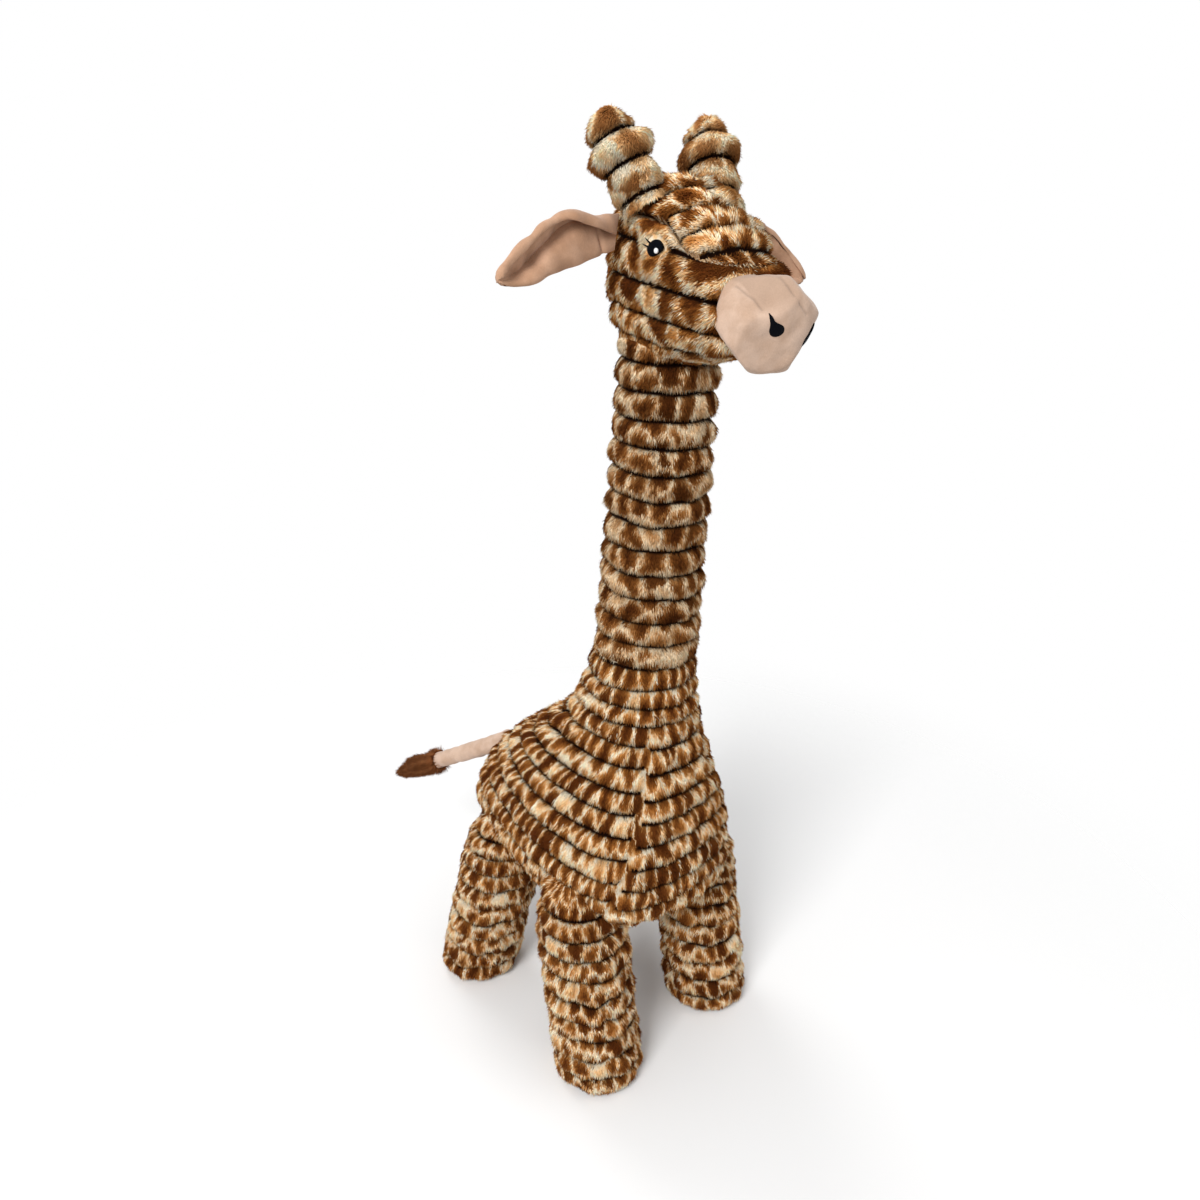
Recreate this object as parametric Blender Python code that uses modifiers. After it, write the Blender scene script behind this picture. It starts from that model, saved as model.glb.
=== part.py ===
"""Plush giraffe, standing, about 0.8 m tall: ribbed faux fur over fibre filling.

The giraffe faces -Y, its left side is at +X, and +Z is up. The origin is on the floor,
under the middle of the length from muzzle to tail tip. Lengths are in metres.
Places along the body are measured from the neck's axis where it meets the torso.
"""

import math

import bmesh
import bpy
from mathutils import Matrix, Vector

# Seams and stitched ribs
SEAM_GAP = 0.0003
CUT_OVERRUN = 0.030
RIB_PITCH = 0.020
RIB_DEPTH = 0.0030
WELD_DISTANCE = 0.00001
SHARP_ANGLE = math.radians(50.0)

# Torso
BELLY_HEIGHT = 0.150
NECK_SEAM_HEIGHT = 0.403
CHEST_REACH = 0.066
RUMP_REACH = 0.208
TORSO_HALF_WIDTH = 0.086
TORSO_SIDES = 20

# Neck
NECK_LEAN = math.radians(4.3)
NECK_BASE_RADIUS = 0.0415
NECK_TOP_RADIUS = 0.0362
NECK_SIDES = 24

# Head, measured forward from the back of the skull
HEAD_BACK = 0.024
HEAD_LENGTH = 0.122
HEAD_CROWN_HEIGHT = 0.767
HEAD_DEPTH = 0.122
HEAD_HALF_WIDTH = 0.0475
HEAD_SIDES = 20

# Muzzle
MUZZLE_BELOW_CROWN = 0.093
MUZZLE_LENGTH = 0.044
MUZZLE_HALF_WIDTH = 0.0355
MUZZLE_HALF_HEIGHT = 0.0305
MUZZLE_DROOP = math.radians(9.0)
MUZZLE_SEAM_DEPTH = 0.010
MUZZLE_SIDES = 20

# Horns
HORN_PUFF_LENGTH = 0.0215
HORN_RADIUS = 0.0200
HORN_GROOVE_DEPTH = 0.0048
HORN_SPREAD = 0.0350
HORN_ROOT_FORWARD = 0.0280
HORN_ROOT_BELOW_CROWN = 0.025
HORN_LEAN_BACK = math.radians(26.0)
HORN_LEAN_OUT = math.radians(11.0)
HORN_SIDES = 20

# Ears
EAR_LENGTH = 0.112
EAR_HALF_WIDTH = 0.0185
EAR_ROOT_HALF_WIDTH = 0.0120
EAR_THICKNESS = 0.0050
EAR_CUP = 0.0090
EAR_ARCH = 0.0060
EAR_SEAT = 0.0020
EAR_BELOW_CROWN = 0.0415
EAR_FORWARD = 0.0090
EAR_DROOP = math.radians(12.0)
EAR_SWEEP = math.radians(6.0)
EAR_ROWS = 9
EAR_COLUMNS = 6

# Embroidered eyes with their lashes and glints, and nostrils
STITCH_RISE = 0.0012
STITCH_SINK = 0.0030
EYE_WIDTH = 0.0125
EYE_HEIGHT = 0.0155
EYE_FORWARD = 0.0480
EYE_BELOW_CROWN = 0.0490
EYE_POINTS = 24
GLINT_DIAMETER = 0.0044
GLINT_RISE = 0.0006
GLINT_FORWARD = 0.0022
GLINT_DROP = 0.0022
GLINT_POINTS = 12
LASH_LENGTH = 0.0070
LASH_WIDTH = 0.0016
LASH_TURNS = (math.radians(118.0), math.radians(152.0))
NOSTRIL_WIDTH = 0.0112
NOSTRIL_LENGTH = 0.0175
NOSTRIL_SPREAD = 0.0185
NOSTRIL_BELOW_AXIS = -0.0005
NOSTRIL_TILT = math.radians(36.0)

# Legs
LEG_HEIGHT = 0.200
LEG_RADIUS = 0.0398
FOOT_ROUNDING = 0.016
LEG_SHOULDER_HEIGHT = 0.060
LEG_SHOULDER_DRAW = 0.022
SOLE_CUT = 0.0005
FRONT_FOOT_SPREAD = 0.0730
FRONT_FOOT_FORWARD = 0.0235
REAR_FOOT_SPREAD = 0.0790
REAR_FOOT_BACK = 0.1660
FRONT_LEG_SPLAY = 0.0
REAR_LEG_SPLAY = 0.026
FRONT_LEG_RAKE = 0.032
REAR_LEG_RAKE = 0.036
LEG_SIDES = 18

# Tail and tuft
TAIL_LENGTH = 0.112
TAIL_ROOT_RADIUS = 0.0102
TAIL_END_RADIUS = 0.0085
TAIL_ABOVE_BELLY = 0.068
TAIL_SLOPE = math.radians(-28.0)
TAIL_VEER = math.radians(24.0)
TAIL_POINTS = 8
TAIL_DOME_POINTS = 4
TUFT_LENGTH = 0.064
TUFT_RIM_RADIUS = 0.0120
TUFT_TIP_RADIUS = 0.0036
TUFT_SOCKET_DEPTH = 0.0040
TUFT_SIDES = 16

# Torso sections from the belly up: height, chest, rump and half width, each a share of
# its own size, how much wider the chest end is than the rump end, and how square it is
TORSO_SECTION_SHARES = (
    (0.000, 0.45, 0.84, 0.62, 0.14, 2.4),
    (0.035, 0.84, 0.97, 0.89, 0.14, 2.7),
    (0.100, 0.980, 1.00, 1.01, 0.14, 2.9),
    (0.180, 1.000, 0.995, 1.02, 0.14, 2.9),
    (0.270, 1.000, 0.956, 0.99, 0.14, 2.9),
    (0.360, 0.970, 0.885, 0.92, 0.13, 2.8),
    (0.460, 0.910, 0.785, 0.83, 0.12, 2.6),
    (0.570, 0.810, 0.600, 0.72, 0.09, 2.5),
    (0.680, 0.720, 0.405, 0.615, 0.06, 2.4),
    (0.787, 0.655, 0.320, 0.548, 0.03, 2.2),
    (0.895, 0.630, 0.258, 0.512, 0.00, 2.0),
    (1.000, 0.636, 0.212, 0.494, 0.00, 2.0),
    (1.100, 0.636, 0.208, 0.490, 0.00, 2.0),
)

# Head sections from the back of the skull to the muzzle seam: place along the head, top
# and bottom below the crown as shares of its depth, half width, and how square
HEAD_SECTION_SHARES = (
    (0.00, 0.34, 0.72, 0.40, 2.0),
    (0.07, 0.14, 0.95, 0.67, 2.3),
    (0.21, 0.04, 1.04, 0.89, 2.6),
    (0.40, 0.00, 1.03, 0.99, 2.8),
    (0.58, 0.08, 1.02, 1.02, 3.0),
    (0.74, 0.23, 1.01, 1.02, 3.0),
    (0.88, 0.37, 0.99, 0.98, 2.8),
    (0.97, 0.50, 0.96, 0.88, 2.5),
    (1.00, 0.57, 0.91, 0.72, 2.2),
)

# Muzzle sections from the seam forward: place, half width, half height, how square
MUZZLE_SECTION_SHARES = (
    (-0.20, 0.90, 0.90, 2.1),
    (0.05, 1.00, 1.00, 2.2),
    (0.40, 1.03, 1.02, 2.4),
    (0.72, 0.94, 0.95, 2.5),
    (0.92, 0.71, 0.75, 2.4),
    (1.00, 0.42, 0.45, 2.1),
)

# One stitched rib along its run: place across the pitch, and rise out of the groove
RIB_SECTION_SHARES = ((0.0, 0.0), (0.24, 0.86), (0.76, 0.86))

# One horn puff: place along the puff, and rise out of the groove
PUFF_SECTION_SHARES = ((0.0, 0.0), (0.18, 0.68), (0.50, 1.0), (0.82, 0.68))

# Horn puffs from the root up: radius of each as a share of the largest
HORN_PUFF_SHARES = (0.86, 1.0, 0.90)

# The last puff closes round: place along it, and radius as a share of its own
HORN_TIP_SHARES = ((0.82, 0.78), (0.95, 0.40))

# Ear half width along it from its root, between its root and its widest
EAR_WIDTH_SHARES = (0.0, 0.52, 0.86, 1.0, 1.0, 0.92, 0.70, 0.28, -0.75)

# Tuft from its rim to its tip: place along it, and radius between its tip and its rim
TUFT_SECTION_SHARES = ((0.00, 0.80), (0.05, 1.0), (0.22, 0.90), (0.50, 0.70), (0.80, 0.34), (0.96, 0.0))

# Teardrop of a nostril: across and along, round end first
TEARDROP_SHARES = (
    (0.00, -0.50), (0.34, -0.43), (0.50, -0.22), (0.44, 0.00), (0.20, 0.18),
    (-0.04, 0.36), (-0.20, 0.50), (-0.20, 0.32), (-0.32, 0.12), (-0.46, -0.06),
    (-0.48, -0.26), (-0.30, -0.44),
)

FUR_BROWN = (0.55, 0.36, 0.19, 1.0)
VELOUR_PINK = (0.80, 0.62, 0.50, 1.0)
EAR_BEIGE = (0.68, 0.50, 0.38, 1.0)
TUFT_BROWN = (0.30, 0.15, 0.06, 1.0)
THREAD_NAVY = (0.012, 0.018, 0.035, 1.0)
THREAD_WHITE = (0.90, 0.90, 0.90, 1.0)


def clear_scene():
    """Remove every object, mesh and curve that the file holds."""
    for item in list(bpy.data.objects):
        bpy.data.objects.remove(item, do_unlink=True)
    for store in (bpy.data.meshes, bpy.data.curves, bpy.data.materials):
        for item in list(store):
            store.remove(item)


def material(name, colour, roughness):
    """A plain cloth material."""
    made = bpy.data.materials.new(name)
    made.use_nodes = True
    shader = made.node_tree.nodes["Principled BSDF"]
    shader.inputs["Base Color"].default_value = colour
    shader.inputs["Roughness"].default_value = roughness
    shader.inputs["Metallic"].default_value = 0.0
    made.diffuse_color = colour
    return made


def new_object(name, data, group):
    """Put mesh or curve data in the scene, in its collection, standing on the stance."""
    made = bpy.data.objects.new(name, data)
    group.objects.link(made)
    if group is CUTTERS:
        made.hide_render = True
        made.display_type = "WIRE"
    made.parent = STANCE
    return made


def mesh_object(name, work, group):
    """Turn bmesh work into an object with its faces pointing out."""
    bmesh.ops.recalc_face_normals(work, faces=work.faces)
    mesh = bpy.data.meshes.new(name)
    work.to_mesh(mesh)
    work.free()
    mesh.shade_smooth()
    mesh.set_sharp_from_angle(angle=SHARP_ANGLE)
    return new_object(name, mesh, group)


def section(centre, across, along, squareness, sides, taper=0.0):
    """Points of one closed section, a superellipse between an ellipse and a box.

    Its width grows by the taper towards the start of the second axis.
    """
    points = []
    for step in range(sides):
        turn = 2.0 * math.pi * step / sides
        c, s = math.cos(turn), math.sin(turn)
        x = math.copysign(abs(c) ** (2.0 / squareness), c)
        y = math.copysign(abs(s) ** (2.0 / squareness), s)
        points.append(centre + across * x * (1.0 - taper * y) + along * y)
    return points


def loft(name, sections, group, smooth_levels=0):
    """Join sections with equal counts of points into one closed body."""
    work = bmesh.new()
    rows = [[work.verts.new(point) for point in points] for points in sections]
    sides = len(rows[0])
    for low, high in zip(rows, rows[1:]):
        for i in range(sides):
            j = (i + 1) % sides
            work.faces.new((low[i], low[j], high[j], high[i]))
    for row in (rows[0], rows[-1]):
        middle = sum((vert.co for vert in row), Vector()) / sides
        hub = work.verts.new(middle)
        for i in range(sides):
            work.faces.new((row[i], row[(i + 1) % sides], hub))
    made = mesh_object(name, work, group)
    if smooth_levels:
        subdivide(made, smooth_levels)
    return made


def subdivide(target, levels):
    """Smooth a coarse cage, alike in the viewport and in a render."""
    smooth = target.modifiers.new("smooth", "SUBSURF")
    smooth.levels = levels
    smooth.render_levels = levels


def turned(name, profile, sides, group):
    """Turn a profile of (radius, height) points about Z; it runs from top to bottom."""
    work = bmesh.new()
    verts = [work.verts.new((radius, 0.0, height)) for radius, height in profile]
    for upper, lower in zip(verts, verts[1:]):
        work.edges.new((upper, lower))
    mesh = bpy.data.meshes.new(name)
    work.to_mesh(mesh)
    work.free()
    made = new_object(name, mesh, group)
    screw = made.modifiers.new("turn", "SCREW")
    screw.axis = "Z"
    screw.steps = sides
    screw.render_steps = sides
    screw.use_merge_vertices = True
    screw.merge_threshold = WELD_DISTANCE
    return made


def copy_cutter(target, growth):
    """A copy of a finished body, grown by a gap, to cut its smaller neighbours with."""
    graph = bpy.context.evaluated_depsgraph_get()
    mesh = bpy.data.meshes.new_from_object(target.evaluated_get(graph))
    cutter = new_object(target.name + "_clearance", mesh, CUTTERS)
    cutter.matrix_local = target.matrix_local
    grow = cutter.modifiers.new("grow", "DISPLACE")
    grow.strength = growth
    grow.mid_level = 0.0
    return cutter


def cut(target, cutter, operation="DIFFERENCE"):
    """Cut one body with another, exactly."""
    boolean = target.modifiers.new(operation.lower() + "_" + cutter.name, "BOOLEAN")
    boolean.operation = operation
    boolean.object = cutter
    boolean.solver = "EXACT"


def box_cutter(name, size, centre):
    """A plain box to cut a flat face with."""
    work = bmesh.new()
    bmesh.ops.create_cube(work, size=1.0)
    bmesh.ops.scale(work, vec=size, verts=work.verts)
    cutter = mesh_object(name, work, CUTTERS)
    cutter.location = centre
    return cutter


def as_mesh(curve_object):
    """Replace a curve object with a mesh of the same place, its caps welded."""
    graph = bpy.context.evaluated_depsgraph_get()
    graph.update()
    mesh = bpy.data.meshes.new_from_object(curve_object.evaluated_get(graph))
    work = bmesh.new()
    work.from_mesh(mesh)
    bmesh.ops.remove_doubles(work, verts=work.verts, dist=WELD_DISTANCE)
    bmesh.ops.recalc_face_normals(work, faces=work.faces)
    work.to_mesh(mesh)
    work.free()
    name = curve_object.name
    local = curve_object.matrix_local.copy()
    old = curve_object.data
    bpy.data.objects.remove(curve_object, do_unlink=True)
    bpy.data.curves.remove(old)
    mesh.name = name
    made = new_object(name, mesh, PARTS)
    made.matrix_local = local
    return made


def patch(name, outline, thickness, group):
    """A flat outline of points, extruded to a thickness about its own plane."""
    curve = bpy.data.curves.new(name, "CURVE")
    curve.dimensions = "2D"
    curve.fill_mode = "BOTH"
    curve.extrude = thickness / 2.0
    for loop in outline:
        spline = curve.splines.new("POLY")
        spline.points.add(len(loop) - 1)
        for point, (x, y) in zip(spline.points, loop):
            point.co = (x, y, 0.0, 1.0)
        spline.use_cyclic_u = True
    return new_object(name, curve, group)


def frame_towards(out, up):
    """A rotation whose Z points out of a surface and whose Y points as far up as it can."""
    z_axis = Vector(out).normalized()
    x_axis = Vector(up).cross(z_axis).normalized()
    y_axis = z_axis.cross(x_axis)
    return Matrix((x_axis, y_axis, z_axis)).transposed().to_4x4()


def surface_hit(target, start, direction):
    """Where a ray meets a finished body, and the body's normal there."""
    graph = bpy.context.evaluated_depsgraph_get()
    graph.update()
    body = target.evaluated_get(graph)
    frame = target.matrix_local
    inward = frame.inverted()
    hit, place, normal, _ = body.ray_cast(inward @ start, inward.to_3x3() @ direction)
    if not hit:
        raise RuntimeError(f"no surface of {target.name} lies on the ray")
    return frame @ place, (frame.to_3x3() @ normal).normalized()


def ribbed(run_count, pitch, radius_at, depth, shares, start):
    """Radius and height of stitched ribs, one above another, from the lowest up."""
    rows = []
    for index in range(run_count):
        for place, rise in shares:
            height = start + (index + place) * pitch
            rows.append((radius_at(height) - depth * (1.0 - rise), height))
    end = start + run_count * pitch
    rows.append((radius_at(end) - depth, end))
    return rows


def fitted(target, neighbour):
    """Cut a smaller body clear of a larger finished one."""
    cut(target, copy_cutter(neighbour, SEAM_GAP))
    return target


def build_torso():
    """Bell-shaped body, narrow at the neck, with a sloping back and a round belly."""
    height = NECK_SEAM_HEIGHT - BELLY_HEIGHT
    rings = []
    for place, chest, rump, width, taper, squareness in TORSO_SECTION_SHARES:
        front = -CHEST_REACH * chest
        back = RUMP_REACH * rump
        centre = Vector((0.0, (front + back) / 2.0, BELLY_HEIGHT + height * place))
        across = Vector((TORSO_HALF_WIDTH * width, 0.0, 0.0))
        along = Vector((0.0, (back - front) / 2.0, 0.0))
        rings.append(section(centre, across, along, squareness, TORSO_SIDES, taper))
    torso = loft("torso", rings, PARTS, smooth_levels=1)
    reach = NECK_BASE_RADIUS * 2.0 + CUT_OVERRUN
    seat = box_cutter("neck_seat", (reach, reach, CUT_OVERRUN), (0.0, 0.0, 0.0))
    tilt = Matrix.Rotation(NECK_LEAN, 4, "X")
    lift = tilt @ Vector((0.0, 0.0, CUT_OVERRUN / 2.0))
    seat.matrix_local = Matrix.Translation(Vector((0.0, 0.0, NECK_SEAM_HEIGHT)) + lift) @ tilt
    cut(torso, seat)
    return torso


def build_neck(head):
    """Tapering neck of stacked stitched rings on a leaning axis, as many as reach the head."""
    rings = round((HEAD_CROWN_HEIGHT - HEAD_DEPTH - NECK_SEAM_HEIGHT) / RIB_PITCH)
    length = rings * RIB_PITCH
    taper = NECK_BASE_RADIUS - NECK_TOP_RADIUS

    def radius_at(height):
        return NECK_BASE_RADIUS - taper * height / length

    rows = ribbed(rings, RIB_PITCH, radius_at, RIB_DEPTH, RIB_SECTION_SHARES, SEAM_GAP)
    rows.append((rows[-1][0], length + CUT_OVERRUN))
    profile = [(0.0, rows[-1][1])] + rows[::-1] + [(0.0, rows[0][1])]
    neck = turned("neck", profile, NECK_SIDES, PARTS)
    tilt = Matrix.Rotation(NECK_LEAN, 4, "X")
    neck.matrix_local = Matrix.Translation((0.0, 0.0, NECK_SEAM_HEIGHT)) @ tilt
    return fitted(neck, head)


def build_head():
    """Boxy skull, highest between the horns, sloping down to the muzzle seam."""
    rings = []
    for place, top, bottom, width, squareness in HEAD_SECTION_SHARES:
        high = HEAD_CROWN_HEIGHT - HEAD_DEPTH * top
        low = HEAD_CROWN_HEIGHT - HEAD_DEPTH * bottom
        centre = Vector((0.0, HEAD_BACK - HEAD_LENGTH * place, (high + low) / 2.0))
        across = Vector((HEAD_HALF_WIDTH * width, 0.0, 0.0))
        upward = Vector((0.0, 0.0, (high - low) / 2.0))
        rings.append(section(centre, across, upward, squareness, HEAD_SIDES))
    return loft("head", rings, PARTS, smooth_levels=1)


def build_muzzle(head):
    """Blunt velour muzzle, sewn into the front of the head."""
    rings = []
    for place, width, height, squareness in MUZZLE_SECTION_SHARES:
        centre = Vector((0.0, 0.0, MUZZLE_LENGTH * place))
        across = Vector((MUZZLE_HALF_WIDTH * width, 0.0, 0.0))
        upward = Vector((0.0, MUZZLE_HALF_HEIGHT * height, 0.0))
        rings.append(section(centre, across, upward, squareness, MUZZLE_SIDES))
    muzzle = loft("muzzle", rings, PARTS, smooth_levels=1)
    ahead = Vector((0.0, -math.cos(MUZZLE_DROOP), -math.sin(MUZZLE_DROOP)))
    height = HEAD_CROWN_HEIGHT - MUZZLE_BELOW_CROWN
    seam = Vector((0.0, HEAD_BACK - HEAD_LENGTH + MUZZLE_SEAM_DEPTH, height))
    turn = frame_towards(ahead, Vector((0.0, 0.0, 1.0)))
    muzzle.matrix_local = Matrix.Translation(seam) @ turn
    return fitted(muzzle, head)


def build_horn(name, side, head):
    """Horn of three round puffs, drawn in by a thread between each two."""
    rows = []
    for index, share in enumerate(HORN_PUFF_SHARES):
        crown = HORN_RADIUS * share
        for place, rise in PUFF_SECTION_SHARES:
            height = (index + place) * HORN_PUFF_LENGTH
            rows.append((crown - HORN_GROOVE_DEPTH * (1.0 - rise), height))
    rows.pop()
    end = len(HORN_PUFF_SHARES) * HORN_PUFF_LENGTH
    for place, share in HORN_TIP_SHARES:
        rows.append((crown * share, end - HORN_PUFF_LENGTH * (1.0 - place)))
    profile = [(0.0, end)] + rows[::-1] + [(0.0, rows[0][1])]
    horn = turned(name, profile, HORN_SIDES, PARTS)
    lean = Matrix.Rotation(side * HORN_LEAN_OUT, 4, "Y") @ Matrix.Rotation(-HORN_LEAN_BACK, 4, "X")
    height = HEAD_CROWN_HEIGHT - HORN_ROOT_BELOW_CROWN
    root = Vector((side * HORN_SPREAD, -HORN_ROOT_FORWARD, height))
    horn.matrix_local = Matrix.Translation(root) @ lean
    return fitted(horn, head)


def build_leg(name, side, foot, top_shift, torso):
    """Ribbed leg with a rounded foot, drawn in under the torso, flat at the sole."""
    rib_count = int(round(LEG_HEIGHT / RIB_PITCH))
    pitch = LEG_HEIGHT / rib_count

    def radius_at(height):
        drop = max(0.0, 1.0 - height / FOOT_ROUNDING)
        climb = max(0.0, 1.0 - (LEG_HEIGHT - height) / LEG_SHOULDER_HEIGHT)
        foot_draw = FOOT_ROUNDING * (1.0 - math.sqrt(1.0 - drop * drop))
        top_draw = LEG_SHOULDER_DRAW * (1.0 - math.sqrt(max(0.0, 1.0 - climb * climb)))
        return LEG_RADIUS - foot_draw - top_draw

    rings = []
    for radius, height in ribbed(rib_count, pitch, radius_at, RIB_DEPTH, RIB_SECTION_SHARES, 0.0):
        centre = foot + top_shift * (height / LEG_HEIGHT)
        centre = Vector((side * centre.x, centre.y, height - SOLE_CUT))
        across, along = Vector((radius, 0.0, 0.0)), Vector((0.0, radius, 0.0))
        rings.append(section(centre, across, along, 2.0, LEG_SIDES))
    leg = loft(name, rings, PARTS)
    reach = LEG_RADIUS * 2.0 + CUT_OVERRUN
    place = (side * foot.x, foot.y, -CUT_OVERRUN / 2.0)
    cut(leg, box_cutter(name + "_floor", (reach, reach, CUT_OVERRUN), place))
    return fitted(leg, torso)


def build_ear(name, side, head):
    """Cupped leaf of two layers of velour, its origin on the seam that it flaps about."""
    out = Vector((side * math.cos(EAR_SWEEP), -math.sin(EAR_SWEEP), 0.0)) * math.cos(EAR_DROOP)
    out.z = -math.sin(EAR_DROOP)
    start = Vector((side * EAR_LENGTH, -EAR_FORWARD, HEAD_CROWN_HEIGHT - EAR_BELOW_CROWN))
    skin, normal = surface_hit(head, start, Vector((-side, 0.0, 0.0)))
    seam = (Vector((0.0, 0.0, 1.0)) - normal * normal.z).normalized()
    front = out.cross(seam).normalized() * side
    root = skin + normal * EAR_SEAT
    work = bmesh.new()
    grid = []
    for row in range(EAR_ROWS):
        along = row / (EAR_ROWS - 1)
        share = EAR_WIDTH_SHARES[row]
        half = EAR_ROOT_HALF_WIDTH + (EAR_HALF_WIDTH - EAR_ROOT_HALF_WIDTH) * share
        bow = math.sin(math.pi * along)
        line = []
        for column in range(EAR_COLUMNS):
            across = 2.0 * column / (EAR_COLUMNS - 1) - 1.0
            reach = EAR_LENGTH * along - EAR_THICKNESS / 2.0 * (1.0 - along)
            rise = half * across + EAR_ARCH * bow
            place = out * reach + seam * rise + front * (EAR_CUP * bow * across * across)
            line.append(work.verts.new(place))
        grid.append(line)
    for low, high in zip(grid, grid[1:]):
        for i in range(EAR_COLUMNS - 1):
            work.faces.new((low[i], low[i + 1], high[i + 1], high[i]))
    ear = mesh_object(name, work, PARTS)
    wall = ear.modifiers.new("layers", "SOLIDIFY")
    wall.thickness = EAR_THICKNESS
    wall.offset = 0.0
    subdivide(ear, 1)
    ear.location = root
    return ear


def tail_direction():
    """The way the tail points: back, down a little, and to the giraffe's right."""
    level = math.cos(TAIL_SLOPE)
    return Vector((-level * math.sin(TAIL_VEER), level * math.cos(TAIL_VEER), math.sin(TAIL_SLOPE)))


def build_tail(torso):
    """Stuffed velour tube with a gathered round root, its origin on the seam it lifts about."""
    behind = Vector((0.0, RUMP_REACH + TAIL_LENGTH, BELLY_HEIGHT + TAIL_ABOVE_BELLY))
    skin, normal = surface_hit(torso, behind, Vector((0.0, -1.0, 0.0)))
    normal.x = 0.0
    root = skin + normal.normalized() * (TAIL_ROOT_RADIUS + SEAM_GAP)
    ahead = tail_direction()
    stations = []
    for index in range(TAIL_DOME_POINTS):
        turn = math.pi / 2.0 * (index + 0.5) / TAIL_DOME_POINTS
        stations.append((-TAIL_ROOT_RADIUS * math.cos(turn), TAIL_ROOT_RADIUS * math.sin(turn)))
    for index in range(TAIL_POINTS):
        share = index / (TAIL_POINTS - 1)
        radius = TAIL_ROOT_RADIUS + (TAIL_END_RADIUS - TAIL_ROOT_RADIUS) * share
        stations.append((TAIL_LENGTH * share, radius))
    curve = bpy.data.curves.new("tail", "CURVE")
    curve.dimensions = "3D"
    curve.fill_mode = "FULL"
    curve.bevel_depth = TAIL_ROOT_RADIUS
    curve.bevel_resolution = 4
    curve.use_fill_caps = True
    spline = curve.splines.new("POLY")
    spline.points.add(len(stations) - 1)
    for point, (along, radius) in zip(spline.points, stations):
        point.co = (*(ahead * along), 1.0)
        point.radius = radius / TAIL_ROOT_RADIUS
    tail = new_object("tail", curve, PARTS)
    tail.location = root
    return as_mesh(tail)


def build_tuft(tail):
    """Brush of brown plush at the tail's end, widest at its rim, with a socket for the tail."""
    ahead = tail_direction()
    profile = [(0.0, TUFT_LENGTH)]
    for place, share in reversed(TUFT_SECTION_SHARES):
        radius = TUFT_TIP_RADIUS + (TUFT_RIM_RADIUS - TUFT_TIP_RADIUS) * share
        profile.append((radius, TUFT_LENGTH * place))
    profile.append((0.0, 0.0))
    tuft = turned("tail_tuft", profile, TUFT_SIDES, PARTS)
    start = tail.matrix_local.translation + ahead * (TAIL_LENGTH - TUFT_SOCKET_DEPTH)
    turn = frame_towards(ahead, Vector((0.0, 0.0, 1.0)))
    tuft.matrix_local = Matrix.Translation(start) @ turn
    return fitted(tuft, tail)


def on_surface(stitch, body, place, normal, up):
    """Lay an embroidered patch on a body: its underside follows the body's surface."""
    turn = frame_towards(normal, up)
    lift = Matrix.Translation(Vector((0.0, 0.0, (STITCH_RISE - STITCH_SINK) / 2.0)))
    stitch.matrix_local = Matrix.Translation(place) @ turn @ lift
    return fitted(as_mesh(stitch), body)


def eye_outline(side):
    """Oval with two lashes that sweep up and back from its rim."""
    points = []
    step = 2.0 * math.pi / EYE_POINTS
    for index in range(EYE_POINTS):
        turn = index * step
        lash = next((t for t in LASH_TURNS if abs(t - turn) <= step / 2.0), None)
        rim = Vector((math.cos(turn) * EYE_WIDTH / 2.0, math.sin(turn) * EYE_HEIGHT / 2.0))
        if lash is None:
            points.append(rim)
            continue
        along = Vector((math.cos(lash), math.sin(lash)))
        across = Vector((-along.y, along.x)) * (LASH_WIDTH / 2.0)
        points.extend((rim - across, rim + along * LASH_LENGTH, rim + across))
    return [(point.x * side, point.y) for point in points]


def build_eye(side, word, head):
    """Embroidered eye with its lashes, and the glint stitched on it."""
    start = Vector((side * EAR_LENGTH, -EYE_FORWARD, HEAD_CROWN_HEIGHT - EYE_BELOW_CROWN))
    place, normal = surface_hit(head, start, Vector((-side, 0.0, 0.0)))
    up = Vector((0.0, 0.0, 1.0))
    thickness = STITCH_RISE + STITCH_SINK
    eye = patch("eye_" + word, [eye_outline(-side)], thickness, PARTS)
    eye = on_surface(eye, head, place, normal, up)
    turn = frame_towards(normal, up)
    disc = []
    for index in range(GLINT_POINTS):
        angle = 2.0 * math.pi * index / GLINT_POINTS
        disc.append((math.cos(angle) * GLINT_DIAMETER / 2.0, math.sin(angle) * GLINT_DIAMETER / 2.0))
    ahead = Vector((0.0, -1.0, 0.0))
    ahead = (ahead - normal * ahead.dot(normal)).normalized()
    spot = place + ahead * GLINT_FORWARD - (turn @ Vector((0.0, GLINT_DROP, 0.0)))
    glint = patch("eye_glint_" + word, [disc], GLINT_RISE, PARTS)
    rise = STITCH_RISE + SEAM_GAP + GLINT_RISE / 2.0
    glint.matrix_local = Matrix.Translation(spot + normal * rise) @ turn
    return eye, as_mesh(glint)


def build_nostril(side, word, muzzle):
    """Embroidered teardrop on the muzzle, its point up and leaning to the outside."""
    height = HEAD_CROWN_HEIGHT - MUZZLE_BELOW_CROWN - NOSTRIL_BELOW_AXIS
    start = Vector((side * NOSTRIL_SPREAD, HEAD_BACK - HEAD_LENGTH - MUZZLE_LENGTH * 2.0, height))
    place, normal = surface_hit(muzzle, start, Vector((0.0, 1.0, 0.0)))
    outline = [(side * -x * NOSTRIL_WIDTH, y * NOSTRIL_LENGTH) for x, y in TEARDROP_SHARES]
    drop = patch("nostril_" + word, [outline], STITCH_RISE + STITCH_SINK, PARTS)
    up = Vector((side * math.sin(NOSTRIL_TILT), 0.0, math.cos(NOSTRIL_TILT)))
    return on_surface(drop, muzzle, place, normal, up)


def dress(target, cloth):
    """Give a piece its one material."""
    target.data.materials.clear()
    target.data.materials.append(cloth)


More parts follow.
